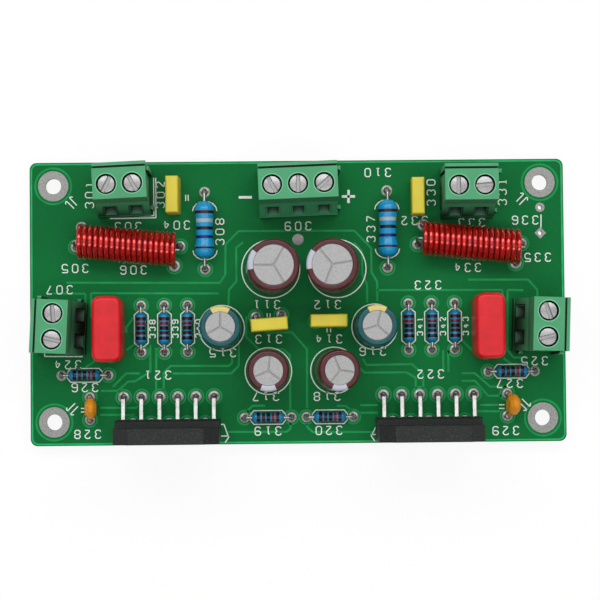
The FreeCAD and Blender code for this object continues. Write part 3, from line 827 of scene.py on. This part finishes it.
def copper_gaps():
    laid_lines("copper_gaps", LEFT_GAPS + MIDDLE_GAPS + RIGHT_GAPS, bare, gap_width, bend=0.3,
               thickness=2 * gap_thickness, height=0.0)


ring_reach = 0.5
ring_width = 0.32
rings_end_x = 45.0
rings_end_y = 13.0


def gap_rings(places):
    """The thin clear ring round each pad that doesn't join the copper area, and each mounting pad."""
    bm = bmesh.new()
    rings = [(x, y, pad_radius(radius) + ring_reach, ring_width, ring_segments)
             for x, y, radius in places if y < rings_end_y and abs(x) < rings_end_x]
    rings += [(x, y, mount_gap_radius, mount_gap_width, fine_segments) for x, y in mounting_places()]
    for x, y, outer, width, segments in rings:
        plate_ring(bm, x, y, outer - width, outer, board_top - sunk, board_top + gap_thickness, segments)
    finish_piece("pad_gap_rings", bm, bare, "board_laminate")


def mounting_places():
    return [(sx * (board_end - mount_inset), sy * (board_side - mount_inset))
            for sx in (-1, 1) for sy in (-1, 1)]


def mounting_pads():
    """The tinned ring and the lined wall of each mounting hole, on both faces."""
    bm = bmesh.new()
    bore = mount_hole_radius - 0.04
    for x, y in mounting_places():
        plate_ring(bm, x, y, bore, mount_pad_radius, board_top - sunk, board_top + pad_thickness)
        plate_ring(bm, x, y, bore, mount_pad_radius, -pad_thickness, sunk)
        plate_ring(bm, x, y, bore, mount_hole_radius + 0.01, -sunk, board_top + 0.02)
    finish_piece("mounting_pads", bm, pad_metal, "solder")


link_x = 48.14
link_places = (13.24, 18.32)
link_hole_radius = 0.44
link_pad_radius = 0.92
link_square_reach = 1.15


def link_pads():
    """The two empty holes of the wire link: one round pad, one square pad turned on its corner."""
    bm = bmesh.new()
    low_y, high_y = link_places
    low, high = -pad_thickness, board_top + pad_thickness
    plate_ring(bm, link_x, high_y, link_hole_radius, link_pad_radius, low, high, ring_segments)
    corners = 4
    forms = ((link_square_reach, corners), (link_hole_radius, ring_segments))
    faces = [[[bm.verts.new(p + Vector((link_x, low_y, z))) for p in circle(radius, 0, count)]
              for radius, count in forms] for z in (high, low)]
    steps = ring_segments // corners
    for outer, inner in faces:
        for k in range(corners):
            run = [inner[(k * steps + i) % ring_segments] for i in range(steps + 1)]
            bm.faces.new([outer[k], outer[(k + 1) % corners]] + run[::-1])
    for upper, lower in zip(*faces):
        for k in range(len(upper)):
            n = (k + 1) % len(upper)
            bm.faces.new([upper[k], upper[n], lower[n], lower[k]])
    finish_piece("link_pads", bm, pad_metal, "solder")


test_pad_x = 0.14
test_pad_y = 12.34
test_pad_radius = 1.12


def test_pad():
    bm = bmesh.new()
    place = Matrix.Translation((test_pad_x, test_pad_y, board_top - sunk))
    turned(bm, [(test_pad_radius, 0), (test_pad_radius, 0.04), (test_pad_radius - 0.1, 0.07)], place, 48)
    finish_piece("test_pad", bm, pad_metal, "solder")


pad_base_radius = 0.88
pad_growth = 0.6


def pad_radius(lead_radius):
    """A thicker lead has a wider pad."""
    return pad_base_radius + pad_growth * lead_radius


def at_each_lead(name, outline, segments, finish, places, height, spread, largest=math.inf,
                 stands_for=()):
    """One turned form round every lead, sized to the lead's pad."""
    shape = bmesh.new()
    turned(shape, outline, segments=segments)
    points = [Vector((x, y, height)) for x, y, _ in places]
    sizes = [min(largest, pad_radius(radius)) for _, _, radius in places]
    finish_piece(name, scattered(shape, points, sizes, finish, spread), finish, "solder",
                 stands_for=stands_for)


def soldered_leads(places):
    """A tinned pad and a cone of solder round every lead, above the board and under it."""
    pad = [(1.0, -sunk), (1.0, 0.035), (0.96, 0.05)]
    fillet = [(0.86, 0.03), (0.84, 0.09), (0.66, 0.15), (0.5, 0.25), (0.4, 0.4), (0.34, 0.5)]
    joint = [(0.3, -1.35), (0.42, -1.25), (0.5, -0.9), (0.66, -0.45), (0.92, -0.08), (1.0, 0.0),
             (1.0, 0.02)]
    depth = -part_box("solder_joints")[0].z / MM
    stretch = depth / (sunk - joint[0][1])
    joint = [(radius, z * stretch) for radius, z in joint]
    at_each_lead("top_pads", pad, 40, pad_metal, places, height=board_top, spread=0.04)
    at_each_lead("top_solder", fillet, 24, solder, places, height=board_top, spread=0.12)
    at_each_lead("under_solder", joint, 24, solder, places, height=0.0, spread=0.0, largest=1.0,
                 stands_for=("solder_joints",))


# White print


STROKES = {
    "0": [[(0, 1), (1, 0), (3, 0), (4, 1), (4, 5), (3, 6), (1, 6), (0, 5), (0, 1)]],
    "1": [[(1, 5), (2, 6), (2, 0)], [(1, 0), (3, 0)]],
    "2": [[(0, 5), (1, 6), (3, 6), (4, 5), (4, 4), (0, 0), (4, 0)]],
    "3": [[(0, 5), (1, 6), (3, 6), (4, 5), (4, 4), (3, 3), (4, 2), (4, 1), (3, 0), (1, 0), (0, 1)]],
    "4": [[(3, 0), (3, 6), (0, 2), (4, 2)]],
    "5": [[(4, 6), (0, 6), (0, 4), (3, 4), (4, 3), (4, 1), (3, 0), (1, 0), (0, 1)]],
    "6": [[(4, 5), (3, 6), (1, 6), (0, 5), (0, 1), (1, 0), (3, 0), (4, 1), (4, 2), (3, 3), (0, 3)]],
    "7": [[(0, 6), (4, 6), (1, 0)]],
    "8": [[(1, 3), (0, 4), (0, 5), (1, 6), (3, 6), (4, 5), (4, 4), (3, 3), (1, 3), (0, 2), (0, 1),
           (1, 0), (3, 0), (4, 1), (4, 2), (3, 3)]],
    "9": [[(4, 3), (1, 3), (0, 4), (0, 5), (1, 6), (3, 6), (4, 5), (4, 1), (3, 0), (1, 0), (0, 1)]],
}


number_height = 1.6
narrow_number_height = 1.1
digit_width = 4
digit_height = 6
digit_pitch = 7.6


def number_paths(text, x, y, turn, height):
    """A plain number drawn in single strokes, centred on its place."""
    unit = height / digit_height
    c, s = math.cos(math.radians(turn)), math.sin(math.radians(turn))
    start = -((len(text) - 1) * digit_pitch + digit_width) / 2
    paths = []
    for k, digit in enumerate(text):
        for stroke in STROKES[digit]:
            path = []
            for u, v in stroke:
                px = (start + k * digit_pitch + u) * unit
                py = (v - digit_height / 2) * unit
                path.append((x + c * px - s * py, y + s * px + c * py))
            paths.append(path)
    return paths


first_number = 301


def position_numbers():
    """Plain running numbers at the places of the photographed board's labels."""
    rows = [
        (-41.0, 21.5, 90), (-27.0, 21.4, 90), (-33.4, 15.2, 180), (-23.8, 15.4, 180),
        (-43.9, 7.0, 180), (-32.4, 6.6, 180), (-47.0, 2.8, 180), (-15.3, 14.0, 90),
        (0.2, 15.0, 180), (16.1, 25.5, 180), (-6.1, -0.5, 180), (5.9, -0.6, 180),
        (-5.8, -7.3, 180), (6.1, -7.4, 180), (-14.9, -9.9, 180), (14.7, -9.9, 180),
        (-6.5, -18.6, 180), (5.6, -18.7, 180), (-6.1, -25.4, 180), (5.9, -25.4, 180),
        (-27.7, -14.2, 180),
        (26.1, -14.5, 180), (25.8, 3.1, 180), (-45.4, -12.0, 180), (46.7, -12.1, 180),
        (-42.1, -16.5, 180), (41.7, -16.5, 180), (-41.6, -25.7, 180), (40.8, -25.8, 180),
        (26.6, 21.4, 90), (40.7, 21.4, 90), (23.3, 15.9, 180), (34.6, 15.4, 180),
        (33.7, 6.5, 180), (47.6, 8.4, 180), (45.2, 15.8, 180), (14.6, 14.3, 90),
    ]
    narrow_rows = [(x, -5.1) for x in (-28.75, -24.25, -19.7, 24.05, 28.6, 33.1)]
    paths = []
    for k, (x, y, turn) in enumerate(rows):
        paths += number_paths(str(first_number + k), x, y, turn, number_height)
    for k, (x, y) in enumerate(narrow_rows):
        paths += number_paths(str(first_number + len(rows) + k), x, y, 90, narrow_number_height)
    return paths


body_outline = [(3.5, 0.5), (2.8, 1.35), (-2.8, 1.35), (-3.5, 0.5), (-3.5, -0.5), (-2.8, -1.35),
                (2.8, -1.35), (3.5, -0.5), (3.5, 0.5)]
large_end = 3.9
large_end_length = 1.9
large_end_half = 2.4


def resistor_outlines():
    """Outlines round the small resistors and arcs at the large ones' ends, over their own places."""
    paths = []
    for side in SIDES:
        for low, high in solids(f"{side}_channel_resistors"):
            centre = (low + high) / 2
            upright = high.y - low.y > high.x - low.x
            paths.append([(centre.x + (v if upright else u), centre.y + (u if upright else v))
                          for u, v in body_outline])
        low, high = box_mm(f"{side}_damping_resistor")
        centre = (low + high) / 2
        for end in (-1, 1):
            paths.append([(centre.x + large_end_half * math.cos(k / 8 * math.pi),
                           centre.y + end * (large_end + large_end_length * math.sin(k / 8 * math.pi)))
                          for k in range(9)])
    return paths


CAN_CIRCLES = [(-5.3, 6.56, 5.75), (7.79, 6.52, 5.75), (-5.95, -13.6, 4.6), (7.0, -13.6, 4.6),
               (-15.1, -5.05, 4.5), (15.1, -5.05, 4.5)]

PRINT_LINES = [
    [(-28.3, 24.8), (-28.3, 17.3), (-37.0, 17.2)],
    [(-27.9, 24.8), (-27.9, 16.9), (-37.0, 16.8)],
    [(-50.0, -9.4), (-50.0, -10.3), (-42.5, -10.4)],
    [(-15.8, -24.0), (-14.8, -24.0), (-13.9, -26.6), (-14.6, -27.6)],
    [(-15.8, -26.3), (-14.0, -26.3)],
    [(15.6, -23.9), (14.2, -26.6), (14.9, -27.6)],
    [(15.6, -26.3), (14.1, -26.3)],
    [(-35.9, -24.8), (-35.5, -27.5), (-34.8, -27.6)],
    [(35.5, -25.0), (35.2, -27.2), (34.5, -27.6)],
    [(-42.9, -20.6), (-41.9, -20.6)], [(-42.9, -21.3), (-41.9, -21.3)],
    [(39.5, -20.7), (40.6, -20.7)], [(39.5, -21.4), (40.6, -21.4)],
    [(-22.0, 21.4), (-22.0, 20.2)], [(-21.5, 21.4), (-21.5, 20.2)],
    [(5.7, -5.3), (5.7, -6.1)], [(6.4, -5.3), (6.4, -6.1)],
    [(-6.1, -2.2), (-6.1, -3.0)], [(-5.5, -2.2), (-5.5, -3.0)],
    [(48.35, 16.9), (48.3, 14.3)],
]
upper_mark_shift = -0.7
HOLE_MARKS = [
    [(-44.05, -19.56), (-45.7, -21.2), (-45.7, -20.4)],
    [(-43.5, -20.18), (-45.1, -21.84), (-44.3, -21.84)],
]
SIGN_LINES = [
    [(-11.5, 20.8), (-8.9, 20.8)],
    [(8.9, 20.8), (11.5, 20.8)],
    [(10.25, 22.1), (10.2, 19.5)],
]


def white_printing():
    """Outlines, marks, signs and numbers."""
    marks = HOLE_MARKS + [[(-x, y) for x, y in path] for path in HOLE_MARKS]
    marks += [[(x, upper_mark_shift - y) for x, y in path] for path in marks]
    thin = PRINT_LINES + resistor_outlines() + marks + position_numbers()
    laid_lines("white_print", thin, white_print, print_width, bend=0.15)
    rings = [[(x + p.x, y + p.y) for p in circle(radius, 0, print_circle_segments)]
             for x, y, radius in CAN_CIRCLES]
    laid_lines("can_circles", rings, white_print, print_width, bend=0.0, closed=True)
    laid_lines("polarity_signs", SIGN_LINES, white_print, sign_width, bend=0.1)


# Terminals


def eased_copy(node, name, material, slot, width, segments=2, limit=30, sharp=30, **settings):
    """A piece in a CAD node's place: its mesh with flat triangles joined and edges eased."""
    bm = merged(node)
    join_flats(bm)
    edges = [e for e in bm.edges if len(e.link_faces) == 2
             and e.calc_face_angle(0) > math.radians(limit)]
    bmesh.ops.bevel(bm, geom=edges, offset=width, segments=segments, profile=0.5, affect="EDGES",
                    clamp_overlap=True)
    finish_piece(name, bm, material, slot, stands_for=(node,), sharp=sharp, **settings)


def screw_places(terminal):
    """The screw axes of a terminal, read from its screws, with its screws' names."""
    names = sorted(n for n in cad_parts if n.startswith(f"{terminal}_screw_"))
    places = []
    for name in names:
        low, high = box_mm(name)
        places.append((name, (low.x + high.x) / 2, (low.y + high.y) / 2, high.z))
    return places


def well_highlight_rims(terminal):
    """The edge round each screw well, and the well's smooth round wall, in a lighter copy of the terminal
    green: a painted highlight.
    """
    housing_top = box_mm(f"{terminal}_terminal_housing")[1].z
    bm = bmesh.new()
    for _, x, y, _ in screw_places(terminal):
        plate_ring(bm, x, y, well_radius - 0.02, well_radius + highlight_rim_width, housing_top - 0.25,
                   housing_top + 0.03)
    finish_piece(f"{terminal}_well_rims", bm, terminal_highlight_green, "terminal_plastic")


def slot_angle(name):
    """The heading of a screw's slot, read from the walls of the slot in its CAD head."""
    bm = merged(name)
    top = max(v.co.z for v in bm.verts)
    centre = middle([v for v in bm.verts if v.co.z > top - 0.01])
    walls = [f for f in bm.faces if abs(f.normal.z) < 0.1
             and f.calc_center_median().z > top - 0.8
             and abs((f.calc_center_median() - centre).xy.dot(f.normal.xy)) < 0.4]
    wall = max(walls, key=lambda f: f.calc_area())
    angle = math.atan2(wall.normal.y, wall.normal.x) + math.pi / 2
    bm.free()
    return angle


def clamping_screw(name, x, y, top):
    """A round slotted head with an eased edge, on a plain thread."""
    place = Matrix.Translation((x, y, top)) @ Matrix.Rotation(slot_angle(name), 4, "Z")
    bottom = box_mm(name)[0].z - top
    half = slot_width / 2
    start = math.asin(half / screw_radius)
    angles = [start + (math.pi - 2 * start) * k / 32 for k in range(33)]
    bm = bmesh.new()
    for side in (-1, 1):
        rings = []
        for inset, z in ((0.0, -slot_depth), (0.0, -0.1), (0.04, -0.03), (0.1, 0.0)):
            reach = screw_radius - inset
            ring = []
            for a in angles:
                out = reach * math.sin(a)
                if out < half + inset:
                    out = half + inset * 0.6
                ring.append(Vector((reach * math.cos(a), side * out, z)))
            rings.append(ring)
        loft(bm, rings, place)
    body = [(screw_thread_radius * 0.85, bottom), (screw_thread_radius, bottom + 0.3),
            (screw_thread_radius, -screw_head_height), (screw_radius, -screw_head_height),
            (screw_radius, -slot_depth)]
    turned(bm, body, place)
    finish_piece(name.replace("screw", "slotted_screw"), bm, screw_steel, "screw_steel", body=name,
                 stands_for=(name,))


def terminal(name):
    eased_copy(f"{name}_terminal_housing", f"{name}_housing", terminal_plastic, "terminal_plastic",
               housing_bevel, flat_above=flat_face)
    well_highlight_rims(name)
    for screw, x, y, top in screw_places(name):
        clamping_screw(screw, x, y, top)
        clamp = screw.replace("screw", "clamp")
        eased_copy(clamp, clamp.replace("clamp", "cage"), cage_steel, "cage_steel", cage_bevel,
                   body=clamp)


# Chips


def chip(side):
    eased_copy(f"{side}_amplifier_chip", f"{side}_power_chip", chip_plastic, "chip_epoxy", chip_bevel,
               limit=25, flat_above=flat_face)
    eased_copy(f"{side}_chip_leads", f"{side}_power_chip_leads", lead_metal, "tinned_lead", lead_bevel,
               limit=40, sharp=35)


# Resistors and coils


def dog_bone(length, bulge, waist):
    """The outline of a lacquered resistor: soft ends, thicker shoulders, a slimmer middle."""
    foot = length * 0.02
    cap = bulge / 2
    outline = [(bulge * 0.12, 0.0), (bulge * 0.2, length * 0.012)]
    for k in range(9):
        a = k / 8 * math.pi / 2
        outline.append((bulge * (0.22 + 0.28 * math.sin(a)), foot + cap * 0.8 * (1 - math.cos(a))))
    for k in range(1, 7):
        t = k / 6
        ease = t * t * (3 - 2 * t)
        outline.append((cap + (waist - bulge) / 2 * ease, foot + cap * (0.95 + t)))
    return outline + [(r, length - z) for r, z in reversed(outline)]


def resistor_body(bm, low, high, waist_share, segments):
    """A lacquered body along the longer side of its box."""
    size = high - low
    length = max(size.x, size.y)
    centre = (low + high) / 2
    heading = 90 if size.y > size.x else 0
    place = lying(centre.x, centre.y, centre.z, heading) @ Matrix.Translation((0, 0, -length / 2))
    turned(bm, dog_bone(length, size.z, size.z * waist_share), place, segments)


def resistors():
    small = bmesh.new()
    large = bmesh.new()
    for side in SIDES:
        for low, high in solids(f"{side}_channel_resistors"):
            resistor_body(small, low, high, waist_share=0.83, segments=32)
        low, high = box_mm(f"{side}_damping_resistor")
        resistor_body(large, low, high, waist_share=0.86, segments=48)
    finish_piece("small_resistors", small, small_lacquer, "resistor_lacquer",
                 stands_for=("left_channel_resistors", "right_channel_resistors"))
    finish_piece("large_resistors", large, large_lacquer, "resistor_lacquer",
                 stands_for=("left_damping_resistor", "right_damping_resistor"))


def round_leads(node, name, bend):
    """Round wires along a node's wires, their corners bent to a radius."""
    bm = swept(WIRE, wire_paths(node), Radius=lead_wire_radius, Bend=bend, Material=lead_metal)
    finish_piece(name, bm, lead_metal, "tinned_lead", stands_for=(node,))


lead_wire_radius = 0.29
coil_wire_radius = 0.51
coil_turns = 17.5


def output_coil(side):
    """The winding, laid along the CAD coil's own centre line, and its two straight ends."""
    path = wire_paths(f"{side}_output_coil")[0]
    run = path[1:-1]
    start = sum(run[:8], Vector()) / 8
    end = sum(run[-8:], Vector()) / 8
    direction = (end - start).normalized()
    centre = (start + end) / 2
    centre.z = (max(p.z for p in run) + min(p.z for p in run)) / 2
    radius = box_mm(f"{side}_output_coil")[1].z - centre.z - coil_wire_radius
    half = abs((run[0] - centre).dot(direction))
    place = lying(*centre, math.degrees(math.atan2(direction.y, direction.x)))
    first = place.inverted() @ run[0]
    twist = Matrix.Rotation(math.atan2(first.y, first.x), 4, "Z")
    # The spiral node winds the other way round
    mirror = Matrix.Scale(-1, 4, Vector((0, 1, 0)))
    bm = bmesh.new()
    bm.from_mesh(run_tree(WINDING, path_mesh([[(0, 0, 0)]]), Turns=coil_turns, Length=2 * half,
                          Radius=radius, Wire=coil_wire_radius, Material=wire_enamel))
    bmesh.ops.transform(bm, matrix=place @ twist @ mirror @ Matrix.Translation((0, 0, -half)),
                        verts=bm.verts)
    for foot, joint in (path[:2], path[:-3:-1]):
        bm.from_mesh(run_tree(WIRE, path_mesh([[foot, joint]]), Radius=coil_wire_radius, Bend=0.0,
                              Material=wire_enamel))
    finish_piece(f"{side}_wound_coil", bm, wire_enamel, "coil_enamel",
                 stands_for=(f"{side}_output_coil",))


def core_resistors():
    nodes = [f"{side}_coil_resistor" for side in SIDES]
    bm = merged(*nodes)
    join_flats(bm)
    finish_piece("coil_resistors", bm, large_lacquer, "resistor_lacquer", stands_for=nodes)


# Cans


def can_form(node):
    """The place, radius and height of a can that may lean, read from its two flat ends."""
    bm = merged(node)
    end = max(bm.faces, key=lambda f: f.normal.z * f.calc_area()).normal.copy()
    foot, top = [middle({v for f in bm.faces if f.normal.dot(end) * way > 0.999 for v in f.verts})
                 for way in (-1, 1)]
    up = (top - foot).normalized()
    radius = max((v.co - foot - up * (v.co - foot).dot(up)).length for v in bm.verts)
    bm.free()
    tilt = Vector((0, 0, 1)).rotation_difference(up).to_matrix().to_4x4()
    return Matrix.Translation(foot) @ tilt, radius, (top - foot).length


def can_outline(radius, height):
    """The sleeve: foot, crimp, straight wall, rounded top edge and the rolled rim."""
    outline = [(radius - 0.35, 0.0), (radius - 0.05, 0.25), (radius, 0.5), (radius, crimp_low - 0.1)]
    for k in range(9):
        outline.append((radius - crimp_depth * math.sin(k / 8 * math.pi), crimp_low + k / 8 * crimp_height))
    outline.append((radius, crimp_low + crimp_height + 0.2))
    for k in range(9):
        a = k / 8 * math.pi / 2
        outline.append((radius - sleeve_round * (1 - math.cos(a)),
                        height - sleeve_round * (1 - math.sin(a))))
    inside = radius - sleeve_rim
    return outline + [(inside + 0.12, height), (inside, height - 0.06), (inside, height - 0.6)]


def vented_top(bm, radius, height, place, turn):
    """The aluminium top in three sectors with scored lines between them."""
    reach = radius - 0.02
    for k in range(3):
        heading = turn + k * 2 * math.pi / 3
        rings = []
        for inset, z in ((0.0, height - 0.4), (0.0, height - 0.1), (0.05, height - 0.05)):
            gap = vent_width / 2 + inset
            tip = gap / math.sin(math.pi / 3)
            spread = math.pi / 3 - math.asin(gap / reach)
            ring = [(tip, heading)]
            ring += [(reach - inset, heading - spread + 2 * spread * n / 24) for n in range(25)]
            rings.append([Vector((r * math.cos(a), r * math.sin(a), z)) for r, a in ring])
        loft(bm, rings, place)
    turned(bm, [(reach, height - 0.5), (reach, height - 0.3)], place, 48)


def can(name, sleeve_material, slot, vent_turn):
    node = f"{name}_capacitor"
    place, radius, height = can_form(node)
    jacket = bmesh.new()
    turned(jacket, can_outline(radius, height), place, can_segments)
    finish_piece(f"{name}_sleeve", jacket, sleeve_material, slot, stands_for=(node,))
    lid = bmesh.new()
    vented_top(lid, radius - sleeve_rim, height, place, vent_turn)
    finish_piece(f"{name}_top", lid, can_metal, "tinned_lead", sharp=25)


# Film, box and disc capacitors


film_corner = 1.6
film_edge = 0.85


def film_capacitor(side):
    node = f"{side}_input_capacitor"
    low, high = box_mm(node)
    centre = (low + high) / 2
    bm = bmesh.new()
    soft_box(bm, high - low, film_corner, film_edge, Matrix.Translation((centre.x, centre.y, low.z)))
    finish_piece(f"{side}_film_capacitor", bm, red_epoxy, "red_epoxy", stands_for=(node,), sharp=60)


def box_capacitor(node):
    eased_copy(node, node.replace("bypass", "box"), yellow_plastic, "yellow_plastic", box_bevel, 3,
               limit=25, sharp=40)


disc_grain = 0.14


def disc_capacitor(side):
    """The dipped disc and its coated feet, flowed together."""
    bm = merged(f"{side}_ceramic_capacitor")
    bmesh.ops.scale(bm, vec=(MM,) * 3, verts=bm.verts)
    mesh = bpy.data.meshes.new("disc")
    bm.to_mesh(mesh)
    bm.free()
    holder = held(mesh)
    remesh = holder.modifiers.new("flow", "REMESH")
    remesh.mode = "VOXEL"
    remesh.voxel_size = disc_grain * MM
    smooth = holder.modifiers.new("ease", "SMOOTH")
    smooth.iterations = 9
    smooth.factor = 0.6
    bm = bmesh.new()
    bm.from_mesh(taken(holder))
    bmesh.ops.scale(bm, vec=(1 / MM,) * 3, verts=bm.verts)
    finish_piece(f"{side}_disc_capacitor", bm, amber_epoxy, "amber_epoxy",
                 stands_for=(f"{side}_ceramic_capacitor",), sharp=180)


# Everything together

# The stage, in metres
floor_reach = 12.0
floor_gap = 0.0001
floor_glow_share = 0.9
sky_strength = 0.2
photo_place = (-0.00491, -0.01501, 0.400)
photo_turn = (0.0387, -0.0130, -0.0097)
photo_lens = 121.1

# Name, place, length, width and power
LIGHTS = [
    ("far light", (0.0, 0.34, 0.60), 1.2, 0.24, 3.9),
    ("near light", (0.0, -0.22, 0.62), 1.2, 0.14, 1.8),
    ("overhead light", (0.0, 0.04, 0.64), 1.2, 0.25, 1.0),
]


def board():
    for node, material in (("circuit_board", mask), ("terminal_contacts", contact_metal)):
        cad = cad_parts[node]
        cad.data.materials.clear()
        cad.data.materials.append(material)
    places = lead_places()
    board_rim()
    copper_gaps()
    gap_rings(places)
    mounting_pads()
    link_pads()
    test_pad()
    soldered_leads(places)
    white_printing()


def parts_on_board():
    for name in ("supply", "left_output", "right_output", "left_input", "right_input"):
        terminal(name)
    for side in SIDES:
        chip(side)
        output_coil(side)
        film_capacitor(side)
        disc_capacitor(side)
    core_resistors()
    resistors()
    round_leads("resistor_leads", "resistor_wires", bend=0.8)
    round_leads("capacitor_leads", "capacitor_wires", bend=0.3)
    can("left_reservoir", brown_sleeve, "brown_sleeve", vent_turn=0.0)
    can("right_reservoir", brown_sleeve, "brown_sleeve", vent_turn=1.2)
    can("left_mute", brown_sleeve_low, "brown_sleeve", vent_turn=0.4)
    can("right_mute", brown_sleeve_low, "brown_sleeve", vent_turn=0.9)
    can("left_feedback", teal_sleeve, "teal_sleeve", vent_turn=0.5)
    can("right_feedback", teal_sleeve, "teal_sleeve", vent_turn=0.3)
    for place in ("left", "right", "left_output", "right_output"):
        box_capacitor(f"{place}_bypass_capacitor")


def white_floor():
    """A plain pale floor that keeps the part's shadow and looks white where nothing shades it."""
    material = bpy.data.materials.new("pale floor")
    material.use_nodes = True
    tree = material.node_tree
    shader = tree.nodes["Principled BSDF"]
    shader.inputs["Base Color"].default_value = (0.9, 0.9, 0.9, 1)
    shader.inputs["Roughness"].default_value = 0.9
    glow = add_node(tree, "ShaderNodeEmission", Strength=1.0)
    seen = add_node(tree, "ShaderNodeLightPath")
    lit = add_node(tree, "ShaderNodeMath", [(0, seen["Is Camera Ray"]), (1, seen["Is Glossy Ray"])],
                   operation="MAXIMUM")
    share = add_node(tree, "ShaderNodeMath", [(0, lit[0]), (1, floor_glow_share)],
                     operation="MULTIPLY")
    both = add_node(tree, "ShaderNodeMixShader", [
        (0, share[0]), (1, shader.outputs["BSDF"]), (2, glow["Emission"])])
    tree.links.new(both["Shader"], tree.nodes["Material Output"].inputs["Surface"])
    reach = floor_reach
    z = cad_low.z - floor_gap
    mesh = bpy.data.meshes.new("floor")
    mesh.from_pydata([(-reach, -reach, z), (reach, -reach, z), (reach, reach, z), (-reach, reach, z)],
                     [], [(0, 1, 2, 3)])
    mesh.materials.append(material)
    floor = bpy.data.objects.new("floor", mesh)
    bpy.context.scene.collection.objects.link(floor)


def soft_box_light(name, location, length, width, power):
    """A long soft light that lies along X and faces the board."""
    lamp = bpy.data.lights.new(name, "AREA")
    lamp.shape = "RECTANGLE"
    lamp.size = length
    lamp.size_y = width
    lamp.energy = power
    holder = bpy.data.objects.new(name, lamp)
    holder.location = location
    holder.rotation_euler = (-Vector(location)).to_track_quat("-Z", "Y").to_euler()
    bpy.context.scene.collection.objects.link(holder)


def studio():
    white_floor()
    world = bpy.data.worlds.new("studio")
    world.use_nodes = True
    world.node_tree.nodes["Background"].inputs["Color"].default_value = (1, 1, 1, 1)
    world.node_tree.nodes["Background"].inputs["Strength"].default_value = sky_strength
    bpy.context.scene.world = world
    for light in LIGHTS:
        soft_box_light(*light)
    bpy.context.scene.view_settings.view_transform = "Standard"


def photo_camera():
    """The photograph's own viewing place, found from the four mounting holes."""
    lens = bpy.data.cameras.new("camera")
    lens.sensor_width = 36
    lens.lens = photo_lens
    lens.clip_start = 0.01
    lens.clip_end = 10
    camera = bpy.data.objects.new("camera", lens)
    camera.location = photo_place
    camera.rotation_euler = photo_turn
    bpy.context.scene.collection.objects.link(camera)
    bpy.context.scene.camera = camera


board()
parts_on_board()
studio()
photo_camera()
